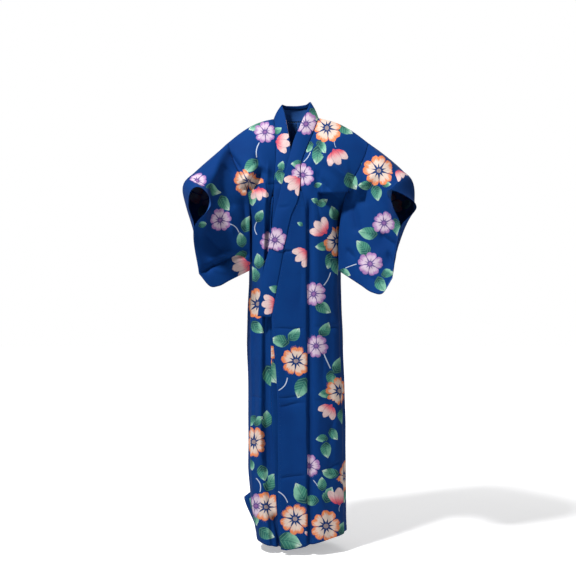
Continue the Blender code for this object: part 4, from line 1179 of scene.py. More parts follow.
Motif = namedtuple("Motif", "form x z size turn")
bothCollars = (
    Motif("leaf", -0.075, -0.045, 0.041, 25),
    Motif("bud", -0.053, -0.094, 0.062, -10),
    Motif("leaf", -0.056, -0.180, 0.041, 80),
    Motif("leaf", -0.064, -0.221, 0.057, -80),
)
motifs = {
    "front_right": (
        Motif("leaf", -0.150, -0.034, 0.069, 200),
        Motif("purple", -0.120, -0.053, 0.040, 20),
        Motif("stem", -0.146, -0.120, 0.058, -100),
        Motif("leaf", -0.172, -0.180, 0.071, 225),
        Motif("orange", -0.181, -0.238, 0.054, 15),
        Motif("bud", -0.142, -0.284, 0.055, -85),
        Motif("leaf", -0.165, -0.299, 0.063, -92),
        Motif("leaf", -0.139, -0.367, 0.052, 65),
        Motif("stem", -0.150, -0.412, 0.050, -90),
        Motif("purple", -0.098, -0.460, 0.041, 60),
        Motif("leaf", -0.146, -0.535, 0.060, 95),
        Motif("leaf", -0.161, -0.584, 0.063, 105),
        Motif("stem", -0.120, -0.535, 0.040, 55),
        Motif("orange", -0.146, -0.696, 0.056, 40),
        Motif("leaf", -0.146, -0.782, 0.063, -45),
        Motif("leaf", -0.094, -0.969, 0.098, -65),
        Motif("leaf", -0.169, -1.133, 0.052, -130),
        Motif("leaf", -0.146, -1.133, 0.052, 40),
        Motif("leaf", -0.116, -1.126, 0.069, 85),
        Motif("orange", -0.161, -1.212, 0.057, -20),
        Motif("leaf", -0.128, -1.328, 0.064, -75),
        Motif("leaf", -0.098, -1.362, 0.078, 62),
        Motif("stem", -0.146, -1.373, 0.055, -75),
        Motif("orange", -0.116, -1.455, 0.055, 35),
        Motif("purple", -0.154, -1.451, 0.044, 0),
        Motif("leaf", -0.113, -1.552, 0.069, -30),
        Motif("leaf", -0.176, -1.440, 0.057, 60),
        Motif("leaf", -0.157, -1.500, 0.057, -70),
    ),
    "overlap_right": (
        Motif("leaf", -0.094, -0.950, 0.098, -65),
        Motif("orange", -0.131, -0.883, 0.054, 10),
    ),
    "collar": bothCollars + (
        Motif("bud", -0.105, -0.697, 0.062, 180),
        Motif("leaf", -0.083, -0.636, 0.046, 170),
    ),
    "over_collar": bothCollars + (
        Motif("purple", 0.033, -0.023, 0.043, -15),
        Motif("leaf", 0.063, 0.011, 0.057, -60),
        Motif("leaf", -0.000, -0.172, 0.048, 180),
        Motif("purple", 0.018, -0.213, 0.043, 30),
        Motif("bud", -0.009, -0.247, 0.070, -140),
        Motif("leaf", -0.030, -0.333, 0.048, 10),
        Motif("leaf", -0.041, -0.404, 0.071, 62),
        Motif("purple", -0.083, -0.456, 0.045, 5),
    ),
    "overlap_left": (
        Motif("leaf", 0.011, -0.397, 0.025, 150),
        Motif("bud", 0.018, -0.517, 0.066, -145),
        Motif("leaf", -0.064, -0.834, 0.074, 170),
        Motif("leaf", -0.012, -0.808, 0.064, 48),
        Motif("orange", -0.004, -0.909, 0.057, 12),
        Motif("stem", -0.053, -0.995, 0.060, -125),
        Motif("leaf", 0.018, -1.010, 0.086, -112),
        Motif("leaf", 0.015, -1.403, 0.090, 118),
        Motif("stem", -0.053, -1.418, 0.056, -50),
        Motif("orange", -0.008, -1.500, 0.057, -8),
        Motif("leaf", -0.030, -1.590, 0.103, -12),
        Motif("bud", 0.045, -1.552, 0.028, 100),
        Motif("stem", 0.063, -1.575, 0.022, -55),
    ),
    "front_left": (
        Motif("orange", 0.112, -0.038, 0.054, 25),
        Motif("leaf", 0.183, -0.038, 0.069, -40),
        Motif("stem", 0.142, -0.097, 0.028, -80),
        Motif("bud", 0.147, -0.147, 0.068, -68),
        Motif("leaf", 0.045, -0.109, 0.046, -115),
        Motif("leaf", 0.074, -0.139, 0.074, -95),
        Motif("leaf", 0.093, -0.109, 0.060, -52),
        Motif("leaf", 0.205, -0.236, 0.074, -62),
        Motif("stem", 0.037, -0.146, 0.046, -125),
        Motif("purple", 0.022, -0.213, 0.043, 30),
        Motif("leaf", 0.078, -0.251, 0.032, 20),
        Motif("leaf", 0.067, -0.311, 0.034, 150),
        Motif("leaf", 0.093, -0.314, 0.048, 25),
        Motif("leaf", 0.142, -0.356, 0.062, 115),
        Motif("bud", 0.087, -0.409, 0.068, 135),
        Motif("leaf", 0.093, -0.479, 0.053, 188),
        Motif("orange", 0.149, -0.460, 0.056, -10),
        Motif("leaf", 0.119, -0.535, 0.064, -100),
        Motif("leaf", 0.142, -0.557, 0.076, -62),
        Motif("stem", 0.112, -0.602, 0.056, -118),
        Motif("purple", 0.063, -0.658, 0.044, 40),
        Motif("leaf", 0.097, -0.715, 0.067, -25),
        Motif("leaf", 0.101, -0.789, 0.064, 55),
        Motif("purple", 0.071, -0.853, 0.043, -20),
        Motif("stem", 0.112, -0.909, 0.062, -66),
        Motif("leaf", 0.127, -0.973, 0.060, -88),
        Motif("leaf", 0.153, -0.924, 0.071, 66),
        Motif("orange", 0.160, -1.021, 0.055, 20),
        Motif("leaf", 0.104, -1.032, 0.051, 186),
        Motif("bud", 0.114, -1.096, 0.060, -125),
        Motif("leaf", 0.168, -1.115, 0.064, -100),
        Motif("leaf", 0.093, -1.201, 0.048, 184),
        Motif("leaf", 0.138, -1.182, 0.053, -58),
        Motif("leaf", 0.112, -1.242, 0.064, -84),
        Motif("purple", 0.045, -1.302, 0.042, 10),
        Motif("stem", 0.071, -1.369, 0.036, -55),
        Motif("leaf", 0.093, -1.369, 0.055, 92),
        Motif("leaf", 0.119, -1.410, 0.067, 68),
        Motif("leaf", 0.052, -1.429, 0.064, 175),
        Motif("bud", 0.157, -1.414, 0.070, 92),
        Motif("stem", 0.160, -1.459, 0.026, -100),
        Motif("orange", 0.108, -1.526, 0.057, 5),
        Motif("leaf", 0.172, -1.534, 0.057, 60),
    ),
    "sleeve_left": (
        Motif("leaf", 0.228, -0.161, 0.046, 58),
        Motif("leaf", 0.205, -0.236, 0.074, -62),
        Motif("orange", 0.306, -0.198, 0.057, 20),
        Motif("leaf", 0.254, -0.251, 0.055, 182),
        Motif("leaf", 0.295, -0.281, 0.064, -75),
        Motif("leaf", 0.336, -0.251, 0.034, 10),
        Motif("bud", 0.392, -0.206, 0.055, -40),
        Motif("purple", 0.325, -0.393, 0.043, -10),
        Motif("leaf", 0.265, -0.430, 0.076, 172),
        Motif("leaf", 0.246, -0.486, 0.074, 132),
        Motif("purple", 0.273, -0.546, 0.045, 8),
        Motif("stem", 0.202, -0.554, 0.045, 200),
        Motif("leaf", 0.179, -0.580, 0.048, -25),
        Motif("leaf", 0.340, -0.584, 0.053, 8),
        Motif("leaf", 0.318, -0.621, 0.067, -62),
        Motif("leaf", 0.370, -0.408, 0.069, -80),
    ),
    "sleeve_right": (
        Motif("orange", -0.181, -0.238, 0.054, 15),
        Motif("purple", -0.374, -0.236, 0.040, 10),
        Motif("leaf", -0.315, -0.269, 0.069, -18),
        Motif("leaf", -0.270, -0.318, 0.067, -60),
        Motif("purple", -0.288, -0.382, 0.043, 25),
        Motif("stem", -0.236, -0.412, 0.050, -42),
        Motif("leaf", -0.210, -0.456, 0.060, 100),
        Motif("leaf", -0.187, -0.397, 0.067, 72),
        Motif("leaf", -0.352, -0.400, 0.037, 15),
        Motif("bud", -0.210, -0.554, 0.075, 200),
        Motif("leaf", -0.214, -0.513, 0.057, 205),
    ),
}

# sprigs for the sides of the cloth that the motifs above leave bare: a flower with leaves round it
sprigLeaves = (
    Motif("leaf", 0.064, 0.036, 0.060, 32),
    Motif("leaf", -0.058, 0.046, 0.056, 138),
    Motif("leaf", 0.020, -0.074, 0.062, -78),
    Motif("stem", -0.052, -0.058, 0.056, -128),
    Motif("bud", -0.092, -0.104, 0.070, -118),
)
Sprig = namedtuple("Sprig", "look flower x z turn leaves")
sprigs = {
    "back_left": (
        Sprig("back", "orange", -0.205, -0.120, 20, 5),
        Sprig("back", "purple", -0.085, -0.200, 75, 4),
        Sprig("back", "orange", -0.070, -0.425, -15, 4),
        Sprig("back", "purple", -0.130, -0.610, 160, 5),
        Sprig("back", "orange", -0.055, -0.800, 35, 3),
        Sprig("back", "orange", -0.120, -1.010, 100, 4),
        Sprig("back", "purple", -0.050, -1.190, -40, 4),
        Sprig("back", "orange", -0.095, -1.400, 10, 5),
        Sprig("leftSide", "purple", 0.060, -0.470, 15, 3),
        Sprig("leftSide", "orange", 0.055, -1.160, 95, 3),
    ),
    "back_right": (
        Sprig("back", "purple", 0.190, -0.150, 60, 5),
        Sprig("back", "orange", 0.075, -0.290, 140, 4),
        Sprig("back", "purple", 0.120, -0.500, -30, 4),
        Sprig("back", "orange", 0.065, -0.690, 80, 5),
        Sprig("back", "orange", 0.125, -0.900, 5, 3),
        Sprig("back", "purple", 0.060, -1.080, 120, 4),
        Sprig("back", "orange", 0.105, -1.270, -60, 4),
        Sprig("back", "orange", 0.060, -1.470, 45, 4),
        Sprig("rightSide", "orange", -0.060, -0.420, 65, 3),
        Sprig("rightSide", "purple", -0.060, -0.800, -10, 4),
        Sprig("rightSide", "orange", -0.055, -1.150, 110, 3),
    ),
    "front_left": (
        Sprig("leftSide", "orange", -0.060, -0.560, 70, 4),
        Sprig("leftSide", "purple", -0.055, -0.980, -20, 3),
        Sprig("leftSide", "orange", -0.050, -1.330, 130, 4),
    ),
    "front_right": (
        Sprig("rightSide", "orange", 0.060, -0.640, 30, 3),
        Sprig("rightSide", "purple", 0.055, -1.230, 150, 3),
    ),
    "sleeve_left": (
        Sprig("back", "orange", -0.330, -0.330, 40, 5),
        Sprig("back", "purple", -0.260, -0.500, 110, 4),
        Sprig("back", "orange", -0.330, -0.590, -35, 2),
        Sprig("leftSide", "purple", -0.060, -0.260, 50, 2),
    ),
    "sleeve_right": (
        Sprig("back", "purple", 0.320, -0.300, 15, 4),
        Sprig("back", "orange", 0.270, -0.460, 85, 4),
        Sprig("back", "purple", 0.310, -0.580, -70, 2),
        Sprig("rightSide", "orange", 0.060, -0.270, 100, 2),
    ),
}
formCodes = {"orange": 0, "purple": 1, "bud": 2, "leaf": 0, "stem": 0}
layerOf = {"orange": "flower", "purple": "flower", "bud": "flower", "leaf": "leaf", "stem": "stem"}
roundForms = ("orange", "purple")
farAway = (9.0, 9.0, 0.0)

Placed = namedtuple("Placed", "form at local off reach code")
Sheet = namedtuple("Sheet", "points places outward")
drawnFacing = {"start": 0.30, "fade": 0.30}     # cloth turned further away keeps its own measure
placing = {
    "leastFacing": 0.05,        # cloth that faces away is taken only when none faces the viewer
    "awayGap": 0.5,
    "codeStart": 0.05,          # a motif's code is its form and, after the point, its variety
    "codeSpan": 0.9,
    "room": 0.85,               # how close a sprig comes to another motif, in both their reaches
    "spread": 1.35,             # faces further from every motif, in its sizes, take none
    "spineStart": 0.15,
    "spineEnd": 0.85,
    "awayReach": 2.6,
    "awayMargin": 0.012,
}
sprigSizes = {"orange": 0.056, "purple": 0.044}


def drawnSteps(sheet, look):
    # how far the print runs over the cloth, as drawn from one side: what faces the viewer looks right
    # from there, and what turns away is measured along the cloth
    seen = seenPlaces(sheet.points, look)
    facing = -(sheet.outward @ np.array(look.ahead, dtype=float))
    runs = []
    for axis, part in ((1, 0), (0, 1)):
        steps = np.diff(seen[..., part], axis=axis)
        lengths = np.linalg.norm(np.diff(sheet.points, axis=axis), axis=2)
        between = facing[:, 1:] + facing[:, :-1] if axis else facing[1:] + facing[:-1]
        toward = smoothStep((between / 2 - drawnFacing["start"]) / drawnFacing["fade"])
        heading = np.sign((steps * toward).sum()) or 1.0
        steps = steps * toward + heading * lengths * (1.0 - toward)
        runs.append(np.cumsum(np.insert(steps, 0, 0.0, axis=axis), axis=axis))
    return seen, facing, runs[0], runs[1]


def placeMotif(sheet, drawn, motif, variety):
    # the motif's own axes over the whole sheet: one unit is its size
    seen, facing, across, down = drawn
    target = np.array((motif.x, motif.z))
    gap = np.linalg.norm(seen - target, axis=2) + placing["awayGap"] * (facing < placing["leastFacing"])
    row, column = np.unravel_index(np.argmin(gap), gap.shape)
    x = seen[:, column, 0][:, None] + across - across[:, column][:, None] - motif.x
    z = seen[row, :, 1][None, :] + down - down[row][None, :] - motif.z
    turn = radians(motif.turn)
    local = np.stack((x * cos(turn) + z * sin(turn), z * cos(turn) - x * sin(turn)), axis=2) / motif.size
    reach = motif.size
    if motif.form not in roundForms:
        local[..., 0] += 0.5
        reach = motif.size / 2
    off = np.linalg.norm(sheet.places - sheet.places[row, column], axis=2)
    code = formCodes[motif.form] + placing["codeStart"] + placing["codeSpan"] * variety
    return Placed(motif.form, sheet.places[row, column], local, off, reach, code), gap[row, column]


def sprigMotifs(sprig):
    tilt = radians(sprig.turn)
    size = sprigSizes[sprig.flower]
    scale = size / sprigSizes["orange"]
    rows = [Motif(sprig.flower, sprig.x, sprig.z, size, sprig.turn)]
    for leaf in sprigLeaves[:sprig.leaves]:
        x = sprig.x + scale * (leaf.x * cos(tilt) - leaf.z * sin(tilt))
        z = sprig.z + scale * (leaf.x * sin(tilt) + leaf.z * cos(tilt))
        rows.append(Motif(leaf.form, x, z, leaf.size * scale, leaf.turn + sprig.turn))
    return rows


def placedOn(name, sheet, random):
    drawn = {look: drawnSteps(sheet, looks[look]) for look in looks}
    found = [placeMotif(sheet, drawn["front"], motif, random.random())[0] for motif in motifs.get(name, ())]
    for sprig in sprigs.get(name, ()):
        added = []
        for motif in sprigMotifs(sprig):
            placed, gap = placeMotif(sheet, drawn[sprig.look], motif, random.random())
            room = [np.linalg.norm(placed.at - other.at) / (placed.reach + other.reach) for other in found]
            if gap < placed.reach and min(room, default=1.0) > placing["room"]:
                added.append(placed)
        found += added
    return found


def cells(values):
    return np.stack((values[:-1, :-1], values[:-1, 1:], values[1:, 1:], values[1:, :-1]), axis=2)


def faceCorners(values, flip):
    corners = cells(values).reshape(-1, 4, values.shape[2])
    return corners[:, ::-1] if flip else corners


def motifFrames(sheet, placed, layer, flip):
    # every face takes the motif nearest to it, in that motif's own axes
    rows, columns = sheet.points.shape[:2]
    frames = np.tile(np.array(farAway), (rows - 1, columns - 1, 4, 1))
    nearest = np.full((rows - 1, columns - 1), placing["spread"])
    for motif in placed:
        if layerOf[motif.form] != layer:
            continue
        corners = cells(motif.local)
        x, y = np.moveaxis(corners.mean(axis=2), 2, 0)
        if motif.form in roundForms:
            gap = np.hypot(x, y)
        else:
            gap = 2.0 * np.hypot(x - np.clip(x, placing["spineStart"], placing["spineEnd"]), y)
        gap[motif.off[:-1, :-1] > placing["awayReach"] * motif.reach + placing["awayMargin"]] = np.inf
        closer = gap < nearest
        nearest[closer] = gap[closer]
        frames[closer, :, :2] = corners[closer]
        frames[closer, :, 2] = motif.code
    frames = frames.reshape(-1, 4, 3)
    return frames[:, ::-1] if flip else frames


motifOrigin = (10.0, 0.0, 0.0)          # the cloth's cut edges read zeros, which must lie on no motif


def writeCorners(data, name, values):
    attribute = data.attributes.new(name, "FLOAT_VECTOR", "CORNER")
    shifted = np.ascontiguousarray(values + np.array(motifOrigin), dtype=np.float32)
    attribute.data.foreach_set("vector", shifted.ravel())


def printPiece(piece, panels):
    # panels are the grids that the piece's faces were made from, in order
    random = np.random.default_rng(len(piece.name) * 7 + 3)
    layers = {"flower": [], "leaf": [], "stem": []}
    uv = []
    for name in panels:
        grid, flip = grids[name], flipped(name)
        places = clothPlaces(name, grid)
        sheet = Sheet(grid, places, outwardNormals(name, grid))
        placed = placedOn(name, sheet, random)
        uv.append(faceCorners(places, flip))
        for layer, frames in layers.items():
            frames.append(motifFrames(sheet, placed, layer, flip))
    for layer, frames in layers.items():
        writeCorners(piece.data, layer, np.concatenate(frames))
    cloth = piece.data.uv_layers.new(name="cloth")
    cloth.data.foreach_set("uv", np.ascontiguousarray(np.concatenate(uv), dtype=np.float32).ravel())


for name, piece in pieces.items():
    printPiece(piece, ["front" + name[4:], "back" + name[4:]] if name.startswith("body") else [name])
print("print laid out")


# the dyes and the cloth

class Value:
    # a number in a node tree; ordinary sums on it add Math nodes
    def __init__(self, tree, socket):
        self.tree, self.socket = tree, socket

    def apply(self, operation, other=0.0, swapped=False):
        pair = (other, self) if swapped else (self, other)
        node = addNode(self.tree, "ShaderNodeMath", dict(enumerate(pair)), operation=operation)
        return Value(self.tree, node.outputs[0])

    def __add__(self, other):
        return self.apply("ADD", other)

    def __sub__(self, other):
        return self.apply("SUBTRACT", other)

    def __rsub__(self, other):
        return self.apply("SUBTRACT", other, True)

    def __mul__(self, other):
        return self.apply("MULTIPLY", other)

    def __truediv__(self, other):
        return self.apply("DIVIDE", other)

    __radd__, __rmul__ = __add__, __mul__


def feed(tree, socket, value):
    if isinstance(value, Value):
        value = value.socket
    if isinstance(value, bpy.types.NodeSocket):
        tree.links.new(value, socket)
    else:
        socket.default_value = value


def addNode(tree, kind, sockets=None, **settings):
    node = tree.nodes.new(kind)
    for name, value in settings.items():
        setattr(node, name, value)
    for socket, value in (sockets or {}).items():
        feed(tree, node.inputs[socket], value)
    return node


def rise(value, start, end):
    # 0 below start, 1 above end
    node = addNode(value.tree, "ShaderNodeMapRange", {"Value": value, "From Min": start, "From Max": end},
                   interpolation_type="SMOOTHSTEP")
    return Value(value.tree, node.outputs["Result"])


def fall(value, start, end):
    return 1.0 - rise(value, start, end)


def blend(factor, first, second):
    node = addNode(factor.tree, "ShaderNodeMix", {0: factor, 6: first, 7: second}, data_type="RGBA")
    return node.outputs[2]


def blendNumbers(factor, first, second):
    node = addNode(factor.tree, "ShaderNodeMix", {0: factor, 2: first, 3: second})
    return Value(factor.tree, node.outputs[0])


def curved(value, points):
    node = addNode(value.tree, "ShaderNodeFloatCurve", {"Value": value})
    curve = node.mapping.curves[0]
    curve.points[0].location = points[0]
    curve.points[1].location = points[-1]
    for point in points[1:-1]:
        curve.points.new(*point)
    node.mapping.update()
    return Value(value.tree, node.outputs[0])


def noise(x, y, z, scale, detail=2.0):
    place = addNode(x.tree, "ShaderNodeCombineXYZ", {0: x, 1: y, 2: z})
    sockets = {"Vector": place.outputs[0], "Scale": scale, "Detail": detail}
    node = addNode(x.tree, "ShaderNodeTexNoise", sockets)
    return Value(x.tree, node.outputs["Fac"])


def centred(value, size):
    # a noise between 0 and 1, made to swing by half of size each way
    return (value - 0.5) * size


def newGroup(name, inputs, outputs, kind="ShaderNodeTree"):
    tree = bpy.data.node_groups.new(name, kind)
    for way, sockets in (("INPUT", inputs), ("OUTPUT", outputs)):
        for socket, socketKind in sockets.items():
            tree.interface.new_socket(socket, in_out=way, socket_type=socketKind)
    return tree, tree.nodes.new("NodeGroupInput").outputs, tree.nodes.new("NodeGroupOutput").inputs


def newMaterial(name, sockets):
    material = bpy.data.materials.new(name)
    material.use_nodes = True
    shader = material.node_tree.nodes["Principled BSDF"]
    for socket, value in sockets.items():
        shader.inputs[socket].default_value = value
    return material, material.node_tree, shader.inputs


vectorIn, colourSocket, floatSocket = "NodeSocketVector", "NodeSocketColor", "NodeSocketFloat"

dyes = {
    "orangeRim": (0.640, 0.190, 0.070, 1), "orangeInner": (0.600, 0.480, 0.410, 1),
    "purpleRim": (0.300, 0.150, 0.350, 1), "purpleInner": (0.520, 0.420, 0.520, 1),
    "orangeStar": (0.010, 0.034, 0.130, 1), "purpleStar": (0.060, 0.030, 0.170, 1),
    "orangeDisc": (0.300, 0.225, 0.210, 1), "purpleDisc": (0.230, 0.110, 0.270, 1),
    "budBase": (0.560, 0.060, 0.100, 1), "budMiddle": (0.600, 0.210, 0.240, 1),
    "budPale": (0.610, 0.450, 0.440, 1),
    "leafDark": (0.008, 0.044, 0.055, 1), "leafMiddle": (0.036, 0.165, 0.125, 1),
    "leafPale": (0.170, 0.380, 0.270, 1), "leafTip": (0.500, 0.620, 0.530, 1),
    "stem": (0.400, 0.460, 0.560, 1), "vein": (0.300, 0.200, 0.180, 1),
    "ground": (0.0010, 0.0310, 0.1480, 1), "reverse": (0.020, 0.082, 0.270, 1),
    "cloud": (0.80, 0.84, 0.90, 1),         # how the ground darkens in patches
}
varieties = 40.0                            # how far apart two motifs lie in the noise

BudPetal = namedtuple("BudPetal", "tilt length width")
flowerForm = {
    "petals": 5.0,
    "wobble": 0.10,
    "wobbleScale": 3.0,
    "wobbleAway": 5.0,                      # the sideways wobble takes its noise from here
    # from the middle of a petal to the gap beside it: how far out its edge lies, with a notch in the middle
    "outline": ((0.0, 0.90), (0.12, 0.955), (0.34, 1.0), (0.64, 0.965), (0.88, 0.84), (1.0, 0.64)),
    "unlike": 0.16,                         # how much one petal's length differs from the next
    "frayed": 0.10,
    "frayedScale": 9.0,
    "petalEdge": (0.965, 1.0),
    # brush streaks run outwards from a pale middle into the coloured rim
    "streakScales": (3.0, 3.2),
    "streaked": 0.60,
    "rimFrom": (0.62, 0.90),
    "fineScales": (9.0, 3.0),
    "fineLines": (0.54, 0.68),
    "fineStrength": 0.40,
    # dark lines between the petals, a star with ten rays and the mottled disc
    "gapLine": (0.010, 0.030),
    "longRay": (0.68, 0.125),               # a ray's length and its width at the disc
    "shortRay": (0.50, 0.115),
    "rayEdge": (-0.010, 0.012),
    "purpleRays": 0.75,                     # how dark a purple flower's rays are
    "starMiddle": (0.205, 0.235),
    "disc": (0.135, 0.160),
    "specks": (0.50, 0.62),
    "speckScale": 22.0,
    "speckStrength": 0.45,
    # a bud shows three petals from the side
    "bud": (BudPetal(0.0, 0.43, 0.24), BudPetal(0.62, 0.40, 0.22), BudPetal(-0.58, 0.38, 0.21)),
    "budTip": 0.96,
    "budFrayed": 0.35,
    "budFrayedScale": 8.0,
    "budEdge": (0.94, 1.04),
    "budLine": (0.06, 0.20),
    "budLineStrength": 0.35,
    "budStreaked": 0.35,
    "budMiddleFrom": (0.12, 0.40),
    "budPaleFrom": (0.28, 0.62),
    "stalkAt": 0.16,
    "stalkEdge": (0.15, 0.17),
}
leafForm = {
    "outline": (
        (0.0, 0.0), (0.07, 0.14), (0.28, 0.30), (0.50, 0.315), (0.76, 0.21), (0.92, 0.07), (1.0, 0.0),
    ),
    "bend": 0.24,
    "frayed": 0.05,
    "frayedScale": 11.0,
    "edge": (0.0, 0.025),
    "tipEnd": (0.98, 1.0),
    # the wash runs from a dark foot to a pale tip, paler on one half
    "washScales": (0.6, 4.5),
    "washed": 0.70,
    "middleFrom": (0.05, 0.52),
    "paleHalf": 0.9,
    "paleFrom": (0.42, 0.86),
    "tipFrom": (0.74, 1.02),
    "veins": 46.0,
    "veinSlant": 0.8,
    "veinEdge": (0.70, 1.0),
    "veinStrength": 0.45,
    "midrib": (0.006, 0.022),
    "midribStrength": 0.55,
}
stemForm = {"bend": 0.40, "edge": (0.022, 0.040), "taper": 0.03}


def printGroup(name, outputs):
    # a motif drawn in its own axes, with a code that tells its kind and variety
    tree, entry, leave = newGroup(name, {"Frame": vectorIn}, outputs)
    parts = addNode(tree, "ShaderNodeSeparateXYZ", {0: entry["Frame"]})
    return tree, leave, [Value(tree, socket) for socket in parts.outputs]


def flowerGroup():
    form = flowerForm
    tree, leave, (x, y, code) = printGroup("flowerPrint", {"Color": colourSocket, "Mask": floatSocket})
    kind = code.apply("FLOOR")
    variety = code.apply("FRACT") * varieties
    x = x + centred(noise(x, y, variety, form["wobbleScale"]), form["wobble"])
    y = y + centred(noise(y, x, variety + form["wobbleAway"], form["wobbleScale"]), form["wobble"])
    radius = (x * x + y * y).apply("SQRT")
    turns = y.apply("ARCTAN2", x) * (form["petals"] / (2.0 * pi))
    petal = (turns + 0.5).apply("FLOOR")
    off = (turns - petal).apply("ABSOLUTE") * 2.0
    isPurple = kind.apply("COMPARE", formCodes["purple"])
    isBud = kind.apply("COMPARE", formCodes["bud"])
    notBud = 1.0 - isBud
    whim = addNode(tree, "ShaderNodeTexWhiteNoise", {"W": petal + variety}, noise_dimensions="1D")
    edge = curved(off, form["outline"]) + centred(Value(tree, whim.outputs["Value"]), form["unlike"])
    edge = edge + centred(noise(x, y, variety, form["frayedScale"]), form["frayed"])
    reach = radius / edge
    budReach = []
    for petalForm in form["bud"]:
        across, up = cos(petalForm.tilt), sin(petalForm.tilt)
        ahead = (x * across + y * up - (form["budTip"] - petalForm.length)) / petalForm.length
        beside = (y * across - x * up) / petalForm.width
        frayed = centred(noise(x, y, variety, form["budFrayedScale"]), form["budFrayed"])
        budReach.append(ahead * ahead + beside * beside + frayed)
    cup = budReach[0].apply("MINIMUM", budReach[1].apply("MINIMUM", budReach[2]))
    stalk = y.apply("ABSOLUTE") + (x - form["stalkAt"]).apply("ABSOLUTE")
    budMask = fall(cup, *form["budEdge"]).apply("MAXIMUM", fall(stalk, *form["stalkEdge"]))
    mask = blendNumbers(isBud, fall(reach, *form["petalEdge"]), budMask)
    # the wash of the petals
    turning, scale = form["streakScales"]
    streak = noise(turns * turning, radius, variety, scale, 3.0)
    inner = blend(isPurple, dyes["orangeInner"], dyes["purpleInner"])
    rim = blend(isPurple, dyes["orangeRim"], dyes["purpleRim"])
    petals = blend(rise(reach + centred(streak, form["streaked"]), *form["rimFrom"]), inner, rim)
    budWash = x + centred(streak, form["budStreaked"])
    budColour = blend(rise(budWash, *form["budMiddleFrom"]), dyes["budBase"], dyes["budMiddle"])
    budColour = blend(rise(budWash, *form["budPaleFrom"]), budColour, dyes["budPale"])
    petals = blend(isBud, petals, budColour)
    turning, scale = form["fineScales"]
    fine = noise(turns * turning, radius, variety, scale)
    petals = blend(rise(fine, *form["fineLines"]) * form["fineStrength"], petals, dyes["vein"])
    # the star and the disc
    fromGap = (1.0 - off) * radius * (pi / form["petals"])
    fromMiddle = off * radius * (pi / form["petals"])
    budEdge = (budReach[0] - 1.0).apply("ABSOLUTE")
    budLine = fall(budEdge, *form["budLine"]) * form["budLineStrength"]
    line = blendNumbers(isBud, fall(fromGap, *form["gapLine"]), budLine)
    rays = []
    for beside, (length, width) in ((fromGap, form["longRay"]), (fromMiddle, form["shortRay"])):
        rays.append(fall(beside - (1.0 - radius / length) * width, *form["rayEdge"]))
    star = rays[0].apply("MAXIMUM", rays[1]) * (1.0 - isPurple * (1.0 - form["purpleRays"]))
    star = star.apply("MAXIMUM", fall(radius, *form["starMiddle"])) * notBud
    starColour = blend(isPurple, dyes["orangeStar"], dyes["purpleStar"])
    colour = blend(line.apply("MAXIMUM", star), petals, starColour)
    specks = rise(noise(x, y, variety, form["speckScale"], 1.0), *form["specks"])
    disc = blend(isPurple, dyes["orangeDisc"], dyes["purpleDisc"])
    disc = blend(specks * form["speckStrength"], disc, dyes["orangeStar"])
    feed(tree, leave["Color"], blend(fall(radius, *form["disc"]) * notBud, colour, disc))
    feed(tree, leave["Mask"], mask)
    return tree


def leafGroup():
    form = leafForm
    tree, leave, (x, y, code) = printGroup("leafPrint", {"Color": colourSocket, "Mask": floatSocket})
    share = code.apply("FRACT")
    variety = share * varieties
    y = y + (x * pi).apply("SINE") * centred(share, form["bend"])
    aside = y.apply("ABSOLUTE")
    frayed = centred(noise(x, y, variety, form["frayedScale"]), form["frayed"])
    width = curved(x, form["outline"]) + frayed
    stretch, scale = form["washScales"]
    along = x + centred(noise(x * stretch, y, variety, scale), form["washed"])
    colour = blend(rise(along, *form["middleFrom"]), dyes["leafDark"], dyes["leafMiddle"])
    colour = blend(rise(along + y * form["paleHalf"], *form["paleFrom"]), colour, dyes["leafPale"])
    colour = blend(rise(along, *form["tipFrom"]), colour, dyes["leafTip"])
    sideVeins = ((x - aside * form["veinSlant"]) * form["veins"]).apply("SINE")
    veins = rise(sideVeins, *form["veinEdge"]) * form["veinStrength"]
    colour = blend(veins, colour, dyes["leafPale"])
    midrib = fall(aside, *form["midrib"]) * form["midribStrength"]
    feed(tree, leave["Color"], blend(midrib, colour, dyes["leafDark"]))
    feed(tree, leave["Mask"], rise(width - aside, *form["edge"]) * fall(x, *form["tipEnd"]))
    return tree


def stemGroup():
    tree, leave, (x, y, code) = printGroup("stemPrint", {"Mask": floatSocket})
    bend = (x * pi).apply("SINE") * centred(code.apply("FRACT"), stemForm["bend"])
    ends = rise(x, 0.0, stemForm["taper"]) * fall(x, 1.0 - stemForm["taper"], 1.0)
    feed(tree, leave["Mask"], fall((y + bend).apply("ABSOLUTE"), *stemForm["edge"]) * ends)
    return tree


cotton = {
    "roughness": 0.78,
    "sheen": 0.01,
    "sheenRoughness": 0.5,
    "specular": 0.07,
    "yarn": 0.0012,             # from one yarn of the weave to the next
    "yarnStreaks": (900.0, 25.0),       # how fine the unevenness is across a yarn and along it
    "yarnUneven": 0.5,
    "yarnTone": 0.35,
    "yarnHeight": 1.5,
    "bump": 0.12,
    "bumpHeight": 0.0002,
    "cloudScale": 7.0,
    "cloudFrom": (0.35, 0.70),
    "reversePrint": 0.45,       # how much of the print shows on the inside
}


